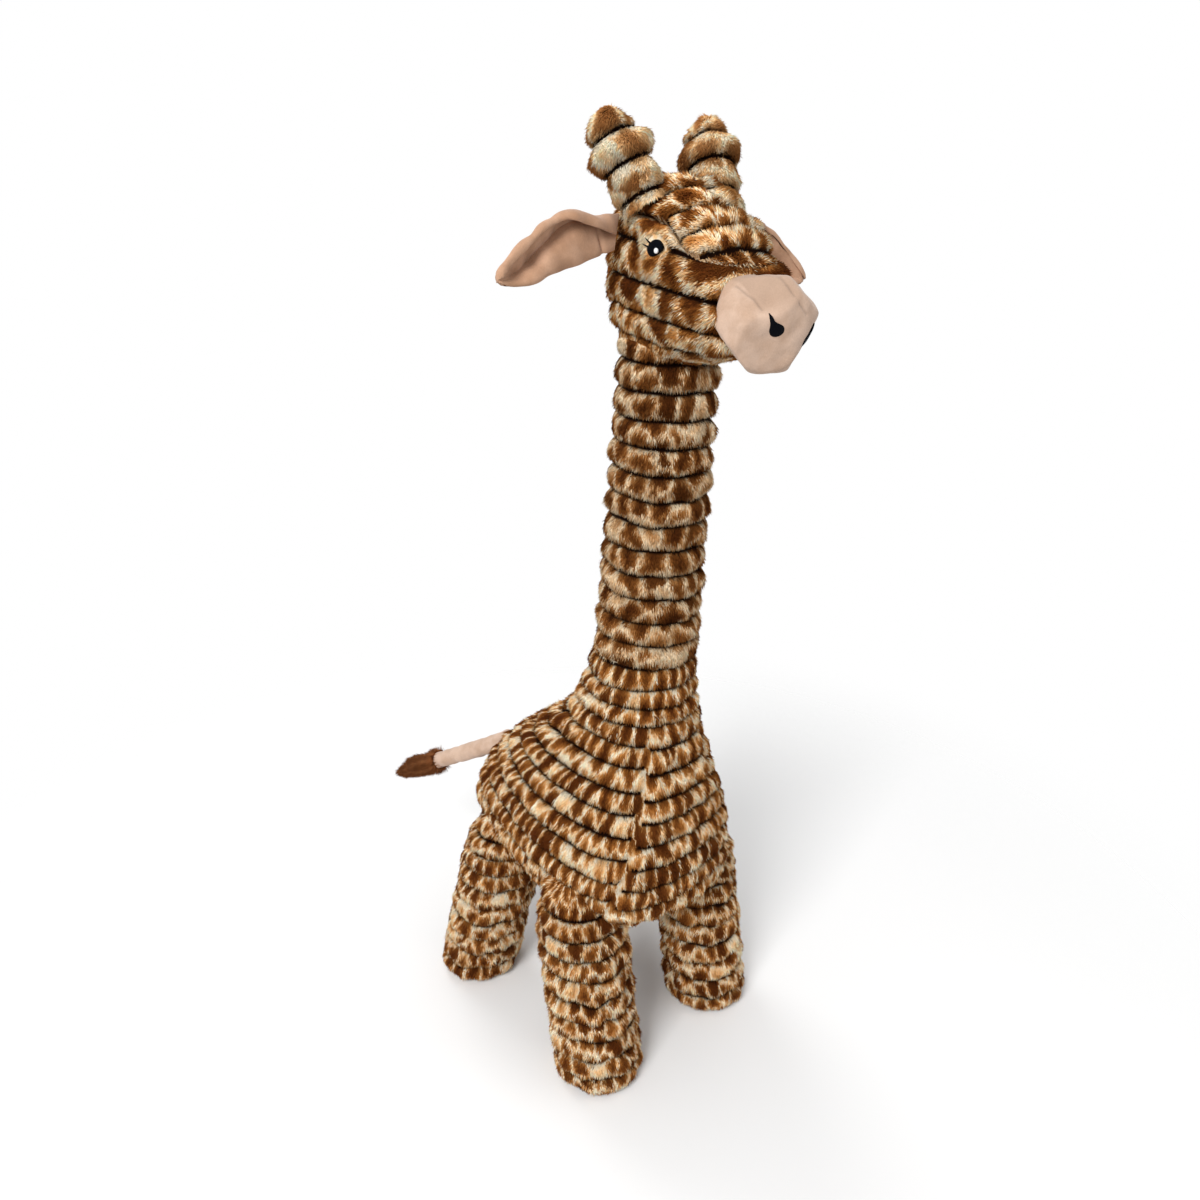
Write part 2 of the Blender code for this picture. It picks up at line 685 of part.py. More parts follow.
def centre_stance(stance):
    """Move the whole giraffe so that the middle of its box stands on the origin."""
    graph = bpy.context.evaluated_depsgraph_get()
    graph.update()
    reach = []
    for item in PARTS.all_objects:
        if item.type == "MESH":
            body = item.evaluated_get(graph)
            reach.extend((body.matrix_world @ vert.co).y for vert in body.data.vertices)
    stance.location.y = -(min(reach) + max(reach)) / 2.0


clear_scene()
PARTS = bpy.data.collections.new("plush_giraffe")
CUTTERS = bpy.data.collections.new("cutters")
for collection in (PARTS, CUTTERS):
    bpy.context.scene.collection.children.link(collection)
STANCE = bpy.data.objects.new("stance", None)
PARTS.objects.link(STANCE)

FUR = material("ribbed_fur", FUR_BROWN, 0.95)
VELOUR = material("muzzle_velour", VELOUR_PINK, 0.85)
EAR_CLOTH = material("ear_velour", EAR_BEIGE, 0.85)
TUFT_CLOTH = material("tuft_plush", TUFT_BROWN, 0.95)
NAVY = material("navy_thread", THREAD_NAVY, 0.45)
WHITE = material("white_thread", THREAD_WHITE, 0.45)

TORSO = build_torso()
HEAD = build_head()
MUZZLE = build_muzzle(HEAD)
TAIL = build_tail(TORSO)
FRONT_FOOT = Vector((FRONT_FOOT_SPREAD, -FRONT_FOOT_FORWARD, 0.0))
FRONT_SHIFT = Vector((-FRONT_LEG_SPLAY, FRONT_LEG_RAKE, 0.0))
REAR_FOOT = Vector((REAR_FOOT_SPREAD, REAR_FOOT_BACK, 0.0))
REAR_SHIFT = Vector((-REAR_LEG_SPLAY, -REAR_LEG_RAKE, 0.0))

for piece in (TORSO, HEAD, build_neck(HEAD)):
    dress(piece, FUR)
for piece in (MUZZLE, TAIL):
    dress(piece, VELOUR)
dress(build_tuft(TAIL), TUFT_CLOTH)
for hand, word in ((-1.0, "right"), (1.0, "left")):
    dress(build_horn("horn_" + word, hand, HEAD), FUR)
    dress(build_leg("front_leg_" + word, hand, FRONT_FOOT, FRONT_SHIFT, TORSO), FUR)
    dress(build_leg("rear_leg_" + word, hand, REAR_FOOT, REAR_SHIFT, TORSO), FUR)
    dress(build_ear("ear_" + word, hand, HEAD), EAR_CLOTH)
    dress(build_nostril(hand, word, MUZZLE), NAVY)
    eye, glint = build_eye(hand, word, HEAD)
    dress(eye, NAVY)
    dress(glint, WHITE)
centre_stance(STANCE)
bpy.context.view_layer.update()
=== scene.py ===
"""Plush giraffe: the dressed model, its ribbed fur, velour and stitching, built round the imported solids.

The giraffe faces -Y, its left side is at +X, and +Z is up. Lengths are in metres. Each
sub-assembly is a class that works out its surfaces with numpy and dresses them in a finish.
"""

from __future__ import annotations

import copy
import logging
import math
from dataclasses import dataclass, field, replace
from enum import Enum
from typing import Any, ClassVar, Sequence

import bpy
import numpy as np
from mathutils import Matrix

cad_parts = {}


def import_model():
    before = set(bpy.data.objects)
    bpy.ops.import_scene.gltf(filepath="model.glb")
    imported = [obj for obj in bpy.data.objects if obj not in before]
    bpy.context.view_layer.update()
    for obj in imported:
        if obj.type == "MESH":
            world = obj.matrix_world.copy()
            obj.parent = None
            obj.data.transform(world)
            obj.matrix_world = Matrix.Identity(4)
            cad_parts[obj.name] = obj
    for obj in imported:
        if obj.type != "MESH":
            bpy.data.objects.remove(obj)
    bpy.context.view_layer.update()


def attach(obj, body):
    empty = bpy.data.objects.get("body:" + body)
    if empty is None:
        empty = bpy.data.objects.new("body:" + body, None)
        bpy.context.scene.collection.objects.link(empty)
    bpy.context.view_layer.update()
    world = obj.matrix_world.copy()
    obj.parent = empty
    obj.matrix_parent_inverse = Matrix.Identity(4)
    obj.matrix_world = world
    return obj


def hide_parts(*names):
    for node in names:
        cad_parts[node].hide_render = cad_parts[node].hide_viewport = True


LOG = logging.getLogger("giraffe")
STANCE = np.array([0.0, -0.10498, 0.0])
ACROSS, UP, DOWN = np.array([1.0, 0.0, 0.0]), np.array([0.0, 0.0, 1.0]), np.array([0.0, 0.0, -1.0])
ROUND = 2.0 * math.pi
RING_POINTS = 20
GROOVELESS = 0.6

Array, Object, Material = np.ndarray, bpy.types.Object, bpy.types.Material
Colour = tuple[float, float, float]


class Body(Enum):
    """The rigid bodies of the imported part, by the names its record gives them."""

    GIRAFFE = "giraffe"
    EAR_RIGHT = "ear_right"
    EAR_LEFT = "ear_left"
    TAIL = "tail"


class Slot(Enum):
    """The record's finishes."""

    FUR = "ribbed_fur"
    VELOUR = "muzzle_velour"
    EAR = "ear_velour"
    NAVY = "navy_thread"
    WHITE = "white_thread"
    TUFT = "tuft_plush"


class Side(Enum):
    """The giraffe's own right, at -X, and its own left, at +X."""

    RIGHT = -1.0
    LEFT = 1.0

    @property
    def word(self) -> str:
        """The side as it stands in a node's name."""
        return self.name.lower()

    def place(self, place: Sequence[float]) -> Array:
        """A place given for the left side, mirrored where this is the right."""
        return np.array(place) * np.array([self.value, 1.0, 1.0])


# Small numeric tools


def unit(v: Array) -> Array:
    """Vectors scaled to length 1, with a length of zero left as it is."""
    size = np.linalg.norm(v, axis=-1, keepdims=True)
    return v / np.where(size > 1e-12, size, 1.0)


def smooth(low: float, high: float, x: Array) -> Array:
    """A rise of x from 0 at low to 1 at high, as 3t^2 - 2t^3, or a fall where low is above high."""
    t = np.clip((x - low) / (high - low), 0.0, 1.0)
    return t * t * (3.0 - 2.0 * t)


def ripple(p: Array, wave: float, seed: int, terms: int = 14) -> Array:
    """Smooth noise: a sum of cosines with seeded directions, lengths near wave and phases.

    Args:
        p: Points along the last axis.
        wave: The mean wavelength.
        seed: The seed of its directions and phases.
        terms: How many cosines are added.

    Returns:
        Noise of mean 0 and of spread about 1, one value per point.
    """
    rng = np.random.default_rng(seed)
    ways = unit(rng.normal(size=(terms, 3))) * (ROUND / wave)
    ways *= rng.uniform(0.65, 1.45, (terms, 1))
    phase = rng.uniform(0.0, ROUND, terms)
    return np.cos(p @ ways.T + phase).sum(axis=-1) * math.sqrt(2.0 / terms)


def knots(u: Array, count: int, closed: bool) -> tuple[Array, Array]:
    """Which four control points a uniform cubic B-spline takes at each u, and their shares.

    The shares are (1-t)^3/6, (3t^3-6t^2+4)/6, (-3t^3+3t^2+3t+1)/6 and t^3/6.

    Args:
        u: Places, in control points.
        count: How many control points there are.
        closed: Whether the curve closes on itself.

    Returns:
        The indices and the shares, four for each place.
    """
    base = np.floor(u).astype(int)
    t = u - base
    index = base[:, None] + np.arange(-1, 3)
    index = index % count if closed else np.clip(index, 0, count - 1)
    shares = [(1 - t) ** 3, 3 * t**3 - 6 * t**2 + 4, -3 * t**3 + 3 * t**2 + 3 * t + 1, t**3]
    return index, np.stack(shares, axis=1) / 6.0


def ring(width: float, height: float, power: float, taper: float = 0.0) -> Array:
    """Control points on a superellipse: cos and sin of the turn, each to the power 2/power.

    Args:
        width: Half its width.
        height: Half its height.
        power: 2 for an ellipse, and more for a rounder box.
        taper: How much narrower it is at its top.

    Returns:
        The points, in the plane of the first two coordinates.
    """
    turn = ROUND * np.arange(RING_POINTS) / RING_POINTS
    both = np.stack([np.cos(turn), np.sin(turn)])
    x, y = np.sign(both) * np.abs(both) ** (2.0 / power)
    return np.stack([width * x * (1.0 - taper * y), height * y, np.zeros(RING_POINTS)], -1)


def grid_normals(p: Array) -> Array:
    """Normals of a grid closed across its columns, from central differences.

    Args:
        p: Points, rows by columns by 3, whose first and last rows may be poles.

    Returns:
        Unit normals that point away from the inside.
    """
    du = np.gradient(p, axis=0)
    dv = (np.roll(p, -1, axis=1) - np.roll(p, 1, axis=1)) / 2.0
    n = unit(np.cross(dv, du))
    for pole, beside in ((0, 1), (-1, -2)):
        if np.ptp(p[pole], axis=0).max() < 1e-7:
            n[pole] = unit(n[beside].mean(axis=0))
    middle = p.reshape(-1, 3).mean(axis=0)
    return n if ((p - middle) * n).sum() > 0 else -n


def wrapped_normals(p: Array) -> Array:
    """Normals of a grid whose last column repeats its first."""
    n = grid_normals(p[:, :-1])
    return np.concatenate([n, n[:, :1]], axis=1)


def run_along(p: Array) -> Array:
    """The length along a line of points up to each of them."""
    return np.concatenate([[0.0], np.cumsum(np.linalg.norm(np.diff(p, axis=0), axis=1))])


def turned(p: Array, middle: Array, axis: Array, angle: float) -> Array:
    """Points turned about an axis: each arm keeps its share along the axis, and the rest of it turns.

    Args:
        p: Points.
        middle: A point on the axis.
        axis: The unit direction of the axis.
        angle: Radians, right-handed.

    Returns:
        The turned points.
    """
    arm = p - middle
    along = (arm @ axis)[..., None] * axis
    return middle + along + (arm - along) * math.cos(angle) + np.cross(axis, arm) * math.sin(angle)


def look_at(ahead: Array) -> Array:
    """A turn whose third column points ahead and whose second points as far up as it can.

    Args:
        ahead: The way ahead.

    Returns:
        The turn, its columns across, up and ahead.
    """
    z = unit(ahead)
    x = unit(np.cross(UP, z))
    return np.stack([x, np.cross(z, x), z], -1)


# Shader maths


class Flow:
    """A socket with arithmetic: an expression on values adds its Math nodes."""

    def __init__(self, bench: Bench, socket: Any) -> None:
        """Wrap a socket of one bench's tree."""
        self.bench = bench
        self.socket = socket

    def math(self, kind: str, *others: Any) -> Flow:
        """A Math node of a kind, whose first value is this one."""
        return self.bench.maths(kind, self, *others)

    def __add__(self, other: Any) -> Flow:
        """Sum."""
        return self.math("ADD", other)

    def __radd__(self, other: Any) -> Flow:
        """Sum, with the number first."""
        return self.bench.maths("ADD", other, self)

    def __sub__(self, other: Any) -> Flow:
        """Difference."""
        return self.math("SUBTRACT", other)

    def __rsub__(self, other: Any) -> Flow:
        """Difference, with the number first."""
        return self.bench.maths("SUBTRACT", other, self)

    def __mul__(self, other: Any) -> Flow:
        """Product."""
        return self.math("MULTIPLY", other)

    def __rmul__(self, other: Any) -> Flow:
        """Product, with the number first."""
        return self.bench.maths("MULTIPLY", other, self)

    def __truediv__(self, other: Any) -> Flow:
        """Quotient."""
        return self.math("DIVIDE", other)

    def __pow__(self, other: Any) -> Flow:
        """Power."""
        return self.math("POWER", other)

    def rise(self, low: float, high: float) -> Flow:
        """A smooth rise from 0 at low to 1 at high."""
        settings = {"interpolation_type": "SMOOTHSTEP"}
        return self.bench.node("ShaderNodeMapRange", settings, {0: self, 1: low, 2: high, 3: 0.0, 4: 1.0})

    def beside(self, *names: Any) -> list[Flow]:
        """Other outputs of this socket's node, by name or index."""
        return [Flow(self.bench, self.socket.node.outputs[name]) for name in names]


class Bench:
    """A node tree, and the one method that adds any node to it."""

    def __init__(self, tree: Any) -> None:
        """Take a tree to work on."""
        self.tree = tree

    def node(self, kind: str, settings: dict[str, Any], feeds: dict[Any, Any], out: Any = 0) -> Flow:
        """Add a node of any kind.

        Args:
            kind: Its type.
            settings: Its own settings, set first; a ramp's stops are pairs of place and colour.
            feeds: What goes into its inputs, by index or name: a Flow or a value.
            out: Which output the answer wraps.

        Returns:
            The wrapped output.
        """
        made = self.tree.nodes.new(kind)
        for key, value in settings.items():
            if key != "stops":
                setattr(made, key, value)
                continue
            ramp = made.color_ramp
            while len(ramp.elements) < len(value):
                ramp.elements.new(1.0)
            for stop, (place, colour) in zip(ramp.elements, value):
                stop.position, stop.color = place, (*colour, 1.0)
        for key, value in feeds.items():
            self.feed(made, key, value)
        return Flow(self, made.outputs[out])

    def feed(self, node: Any, key: Any, value: Any) -> None:
        """Send a value to a node's input.

        Args:
            node: The node.
            key: The input, by index or name.
            value: A Flow, or a plain value.
        """
        if isinstance(value, Flow):
            self.tree.links.new(value.socket, node.inputs[key])
        else:
            node.inputs[key].default_value = value

    def maths(self, kind: str, *values: Any) -> Flow:
        """A Math node on its values in order."""
        return self.node("ShaderNodeMath", {"operation": kind}, dict(enumerate(values)))

    def vector(self, kind: str, first: Any, second: Any) -> Flow:
        """A Vector Math node on two vectors, or on a vector and its scale."""
        feeds = {0: first, ("Scale" if kind == "SCALE" else 1): second}
        return self.node("ShaderNodeVectorMath", {"operation": kind}, feeds)

    def mix(self, share: Flow, first: Any, second: Any) -> Flow:
        """A mix of two colours, each a Flow or a linear colour, by the second's share."""
        feeds = {key: c if isinstance(c, Flow) else (*c, 1.0) for key, c in ((6, first), (7, second))}
        return self.node("ShaderNodeMix", {"data_type": "RGBA", "clamp_factor": True}, {0: share, **feeds}, 2)

    def parts(self, vector: Flow) -> list[Flow]:
        """The x, y and z of a vector."""
        return self.node("ShaderNodeSeparateXYZ", {}, {0: vector}).beside(0, 1, 2)

    def stored(self, name: str) -> list[Flow]:
        """The three numbers that the mesh stores under a name."""
        return self.parts(self.node("ShaderNodeAttribute", {"attribute_name": name}, {}, "Vector"))

    def noise(self, where: Flow, scale: float, detail: float, rough: float = 0.55, out: int = 0) -> Flow:
        """Noise near 0.5 at a place: its cycles per unit, octaves, and how strong the finer ones are."""
        feeds = {"Vector": where, "Scale": scale, "Detail": detail, "Roughness": rough}
        return self.node("ShaderNodeTexNoise", {}, feeds, out)

    def place(self) -> Flow:
        """The piece's own coordinates."""
        return self.node("ShaderNodeTexCoord", {}, {}, "Object")


class Dye(Bench):
    """A material's node tree, round a plain Principled shader."""

    def __init__(self, name: str, colour: Colour, roughness: float) -> None:
        """Start a material.

        Args:
            name: The material's name.
            colour: Its plain colour, linear.
            roughness: Its plain roughness.
        """
        self.material = bpy.data.materials.new(name)
        self.material.use_nodes = True
        self.material.diffuse_color = (*colour, 1.0)
        super().__init__(self.material.node_tree)
        self.shader = self.tree.nodes["Principled BSDF"]
        self.give("Base Color", (*colour, 1.0))
        self.give("Roughness", roughness)

    def give(self, socket: str, value: Any) -> None:
        """Send a value or a Flow to one of the shader's sockets."""
        self.feed(self.shader, socket, value)

    def bump(self, height: Flow, strength: float, distance: float) -> None:
        """Bend the shader's normal by a height; a height of 1 stands for the distance."""
        feeds = {"Strength": strength, "Distance": distance, "Height": height}
        self.give("Normal", self.node("ShaderNodeBump", {}, feeds))


def srgb(red: float, green: float, blue: float) -> Colour:
    """A linear colour from one as it looks on a screen, 0 to 255."""
    shares = (c / 255.0 for c in (red, green, blue))
    return tuple(c / 12.92 if c < 0.04045 else ((c + 0.055) / 1.055) ** 2.4 for c in shares)


# Meshes


@dataclass
class Faces:
    """Corner lists of a mesh: which points each face joins, and each corner's place on its own sheet."""

    corners: list[Array] = field(default_factory=list)
    sheet: list[Array] = field(default_factory=list)

    def add(self, corners: Array, sheet: Array) -> None:
        """Add faces with equal counts of corners, and their places on the sheet."""
        self.corners.append(corners.astype(np.int32))
        self.sheet.append(sheet)

    def join(self, other: Faces) -> None:
        """Add another list's faces."""
        self.corners += other.corners
        self.sheet += other.sheet

    def face_out(self, points: Array) -> None:
        """Turn all faces round where they enclose less than nothing, by the sum of a x b . c.

        Args:
            points: The points that they join.
        """
        volume = 0.0
        for rows in self.corners:
            a, b, c = points[rows[:, 0]], points[rows[:, 1]], points[rows[:, 2]]
            volume += (np.cross(a, b) * c).sum()
            if rows.shape[1] == 4:
                volume += (np.cross(a, c) * points[rows[:, 3]]).sum()
        if volume < 0:
            self.corners = [rows[:, ::-1] for rows in self.corners]
            self.sheet = [rows[:, ::-1] for rows in self.sheet]


def make_mesh(name: str, points: Array, faces: Faces, finish: Material,
              stored: dict[str, Array] | None = None) -> Object:
    """Put whole arrays into a mesh whose faces point outwards.

    Args:
        name: The piece's name.
        points: Its points.
        faces: Its faces.
        finish: Its material.
        stored: Vectors that its material reads, one for each point.

    Returns:
        The new object.
    """
    faces.face_out(points)
    mesh = bpy.data.meshes.new(name)
    counts = np.concatenate([np.full(len(rows), rows.shape[1]) for rows in faces.corners])
    mesh.vertices.add(len(points))
    mesh.vertices.foreach_set("co", points.astype(np.float32).ravel())
    mesh.loops.add(int(counts.sum()))
    mesh.loops.foreach_set("vertex_index", np.concatenate([rows.ravel() for rows in faces.corners]))
    mesh.polygons.add(len(counts))
    starts = np.concatenate([[0], np.cumsum(counts)[:-1]]).astype(np.int32)
    mesh.polygons.foreach_set("loop_start", starts)
    mesh.polygons.foreach_set("use_smooth", np.ones(len(counts), dtype=bool))
    mesh.update(calc_edges=True)
    sheet = mesh.uv_layers.new(name="OFBake")
    places = np.concatenate([rows.reshape(-1, 2) for rows in faces.sheet]).astype(np.float32)
    sheet.uv.foreach_set("vector", places.ravel())
    for key, values in (stored or {}).items():
        kept = mesh.attributes.new(key, "FLOAT_VECTOR", "POINT")
        kept.data.foreach_set("vector", values.astype(np.float32).ravel())
    mesh.materials.append(finish)
    made = bpy.data.objects.new(name, mesh)
    bpy.context.scene.collection.objects.link(made)
    return made


def grid_faces(rows: int, columns: int, first: int = 0) -> Faces:
    """Faces of a grid closed across its columns, with a hub at each end.

    Points are the rows one after another, then the hub before the first row, then the one after the last.

    Args:
        rows: How many rows.
        columns: How many columns.
        first: The number of the grid's first point.

    Returns:
        The faces, laid out flat on their sheet.
    """
    r, c = np.meshgrid(np.arange(rows - 1), np.arange(columns), indexing="ij")
    d = (c + 1) % columns
    corners = np.stack([r * columns + c, r * columns + d, (r + 1) * columns + d, (r + 1) * columns + c], -1)
    across = np.stack([c, c + 1, c + 1, c], -1) / columns
    along = (np.stack([r, r, r + 1, r + 1], -1) + 1.5) / (rows + 2.0)
    faces = Faces()
    faces.add(corners.reshape(-1, 4) + first, np.stack([across, along], -1).reshape(-1, 4, 2))
    c = np.arange(columns)
    pair = np.stack([c, c + 1], -1)
    for hub, row, place, beyond, order in ((0, 0, 1.5, 0.5, -1), (1, rows - 1, rows + 0.5, rows + 1.5, 1)):
        flat = pair[:, ::order]
        end = np.full((columns, 1), rows * columns + hub)
        around = np.concatenate([row * columns + flat % columns, end], 1)
        across = np.concatenate([flat, flat.mean(axis=1, keepdims=True)], 1) / columns
        along = np.broadcast_to(np.array([place, place, beyond]) / (rows + 2.0), across.shape)
        faces.add(around + first, np.stack([across, along], -1))
    return faces


def closed_grid(p: Array) -> Array:
    """The values of a grid in the order that grid_faces takes, with the end rows' means for the hubs."""
    return np.concatenate([p.reshape(-1, p.shape[-1]), [p[0].mean(axis=0), p[-1].mean(axis=0)]])


def grid_piece(name: str, p: Array, finish: Material, stored: dict[str, Array] | None = None) -> Object:
    """A closed piece over a grid of points, with grids of the vectors that its material reads."""
    grids = {key: closed_grid(values) for key, values in (stored or {}).items()}
    return make_mesh(name, closed_grid(p), grid_faces(*p.shape[:2]), finish, grids)


class Envelope:
    """How far a body reaches from its middle in each direction: a table over longitude and latitude."""

    COLUMNS = 180
    ROWS = 90

    def __init__(self, points: Array, middle: Sequence[float]) -> None:
        """Fill the table with the mean reach in each cell, and empty cells from their neighbours.

        Args:
            points: Points spread over the body.
            middle: A place inside from which all of the body is seen.
        """
        self.middle = np.array(middle)
        place = (points - self.middle).reshape(-1, 3)
        u, v = self.spot(place)
        row = np.floor(v).astype(int).clip(0, self.ROWS - 1)
        cell = row * self.COLUMNS + np.floor(u).astype(int) % self.COLUMNS
        table = np.stack([np.bincount(cell, weights=values, minlength=self.ROWS * self.COLUMNS)
                          for values in (np.ones(len(cell)), np.linalg.norm(place, axis=1))])
        count, total = table.reshape(2, self.ROWS, self.COLUMNS)
        while (count == 0).any():
            near = [np.roll(values, -1, axis=1) + np.roll(values, 1, axis=1) for values in (count, total)]
            for beside, values in zip(near, (count, total)):
                beside[1:] += values[:-1]
                beside[:-1] += values[1:]
            empty = (count == 0) & (near[0] > 0)
            total = np.where(empty, near[1] / np.maximum(near[0], 1.0), total)
            count = np.where(empty, 1.0, count)
        self.reach = total / count

    def spot(self, place: Array) -> tuple[Array, Array]:
        """Where directions fall in the table.

        Args:
            place: Places from the middle.

        Returns:
            The column and the row of each.
        """
        turn = np.arctan2(place[..., 1], place[..., 0]) / ROUND % 1.0
        size = np.maximum(np.linalg.norm(place, axis=-1), 1e-9)
        tilt = np.arccos(np.clip(place[..., 2] / size, -1.0, 1.0)) / math.pi
        return turn * self.COLUMNS, tilt * self.ROWS

    def depth(self, points: Array) -> Array:
        """How deep points lie in the body along the line from its middle.

        Args:
            points: The points.

        Returns:
            The depths, below 0 outside.
        """
        place = points - self.middle
        u, v = self.spot(place)
        u, v = u - 0.5, np.clip(v - 0.5, 0.0, self.ROWS - 1.001)
        u0, v0 = np.floor(u).astype(int), np.floor(v).astype(int)
        fu, fv = u - u0, v - v0
        u0, u1 = u0 % self.COLUMNS, (u0 + 1) % self.COLUMNS
        near, far = (self.reach[row, u0] * (1 - fu) + self.reach[row, u1] * fu for row in (v0, v0 + 1))
        return near * (1 - fv) + far * fv - np.linalg.norm(place, axis=-1)


def crossing(inside: Array, places: Array) -> Array:
    """Where each column first goes from outside to inside, down its rows.

    Args:
        inside: Depths, rows by columns, below 0 outside.
        places: The place of each row.

    Returns:
        The place of the crossing for each column, or the last place where there is none.
    """
    hit = inside > 0
    row = np.where(hit.any(axis=0), hit.argmax(axis=0), len(places) - 1).clip(1)
    column = np.arange(inside.shape[1])
    low, high = inside[row - 1, column], inside[row, column]
    t = np.clip(-low / np.where(np.abs(high - low) > 1e-12, high - low, 1.0), 0.0, 1.0)
    return places[row - 1] + (places[row] - places[row - 1]) * t


# Fur cloth


@dataclass
class Cloth:
    """A grid of ribbed fur cloth, closed across its columns, with what its pattern and its pile follow.

    Its first and last columns are the same line, so that the pattern may end on it. Along is in metres
    along the ribs, rib is the number of ribs, and seam is 0 in a seam and 1 off it. Where plain is up
    to 0.6 the grooves are left out, and from there to 1 the print too.
    """

    points: Array
    along: Array
    rib: Array
    seed: float
    seam: Array | float = 1.0
    plain: Array | float = 0.0
    ROUNDING: ClassVar[float] = 2.1
    LEVEL: ClassVar[float] = 0.93
    PUFF: ClassVar[float] = 0.001

    def __post_init__(self) -> None:
        """Spread single values over the grid and take the smooth surface's normals."""
        for name in ("along", "rib", "seam", "plain"):
            setattr(self, name, np.broadcast_to(getattr(self, name), self.points.shape[:2]))
        self.normals = self.relief = wrapped_normals(self.points)
        self.rise = self.seam

    def stitch(self, depth: float, lift: float) -> Cloth:
        """Push the cloth into its grooves and seams, and keep it on or over the floor.

        A rib's rise is (1 - t^2.1)^0.5, t from 0 on its crest to 1 in its groove, so that it is round
        with a sharp valley. A seam's rise multiplies it.

        Args:
            depth: How deep a groove is.
            lift: How far a crest stands off the smooth surface.

        Returns:
            This cloth.
        """
        t = np.abs(2.0 * (self.rib - np.floor(self.rib)) - 1.0)
        rise = (1.0 - np.clip(t, 0.0, 1.0) ** self.ROUNDING) ** 0.5
        self.rise = (rise + (self.LEVEL - rise) * self.plain) * self.seam
        puff = self.PUFF * ripple(self.points, 0.024, 3) * self.rise
        self.points = self.points + self.normals * (lift - depth * (1.0 - self.rise) + puff)[..., None]
        self.relief = wrapped_normals(self.points)
        self.points[..., 2] = np.maximum(self.points[..., 2], 0.0)
        return self

    def columns(self, wanted: slice) -> Cloth:
        """Some of its columns, stitched as they are.

        Args:
            wanted: Which.

        Returns:
            The narrower cloth.
        """
        cut = copy.copy(self)
        for name in ("points", "along", "rib", "seam", "plain", "normals", "relief", "rise"):
            setattr(cut, name, getattr(self, name)[:, wanted])
        return cut


def fur_skin(name: str, cloth: Cloth, finish: Material) -> Object:
    """The backing of the fur as one closed piece.

    Args:
        name: The piece's name.
        cloth: The cloth.
        finish: The material.

    Returns:
        The piece.
    """
    threads = np.stack([cloth.along, cloth.rib, np.full_like(cloth.rib, cloth.seed)], -1)
    # Painted shade: the backing darkens into its seams, nearly black in the deepest.
    shade = 0.5 * smooth(0.0, 0.9, cloth.seam) - 0.42 * smooth(0.34, 0.12, cloth.seam)
    lay = np.stack([shade, np.zeros_like(shade), cloth.plain], -1)
    return grid_piece(name, cloth.points[:, :-1], finish, {"cloth": threads[:, :-1], "lay": lay[:, :-1]})


@dataclass
class Pile:
    """Hair for one cloth: how much, how long and how it lies.

    Down is the way it is brushed, and clear lists the bodies that it must not stand in, each with how
    deep a hair may go.
    """

    count: int
    seed: int
    clear: Sequence[tuple[str, float]] = ()
    down: Array = field(default_factory=lambda: DOWN)
    length: float = 0.0042
    width: float = 0.00085
    lean: float = 1.14
    sink: float = 0.0006
    floor: float = 0.0004
    stray: float = 0.11
    clump: float = 0.15
    stand: float = 0.18


class Spots:
    """Places on a stitched cloth, spread evenly by area and left out of its grooves."""

    def __init__(self, cloth: Cloth, count: int, rng: np.random.Generator) -> None:
        """Pick the places: a cell of the grid by its share of the area, then a place in the cell.

        Args:
            cloth: The cloth.
            count: How many.
            rng: The draws.
        """
        p = cloth.points
        area = np.linalg.norm(np.cross(p[1:, 1:] - p[:-1, :-1], p[1:, :-1] - p[:-1, 1:]), axis=-1) / 2.0
        weight = np.minimum(cloth.rise[:-1, :-1], cloth.rise[1:, 1:])
        run = np.cumsum((area * smooth(0.25, 0.6, weight)).ravel())
        picks = (np.arange(count) + rng.random(count)) / count * run[-1]
        cell = np.searchsorted(run, picks).clip(0, len(run) - 1)
        self.row, self.column = np.divmod(cell, p.shape[1] - 1)
        self.down, self.across = rng.random(count), rng.random(count)

    def at(self, values: Array) -> Array:
        """Values of the cloth at each place, between the four corners of its cell.

        Args:
            values: A grid of numbers or of vectors.

        Returns:
            One for each place.
        """
        r, k, s, t = self.row, self.column, self.down, self.across
        if values.ndim == 3:
            s, t = s[:, None], t[:, None]
        return ((1 - s) * (1 - t) * values[r, k] + (1 - s) * t * values[r, k + 1]
                + s * (1 - t) * values[r + 1, k] + s * t * values[r + 1, k + 1])

    def keep(self, wanted: Array) -> None:
        """Keep only the wanted places."""
        self.row, self.column = self.row[wanted], self.column[wanted]
        self.down, self.across = self.down[wanted], self.across[wanted]


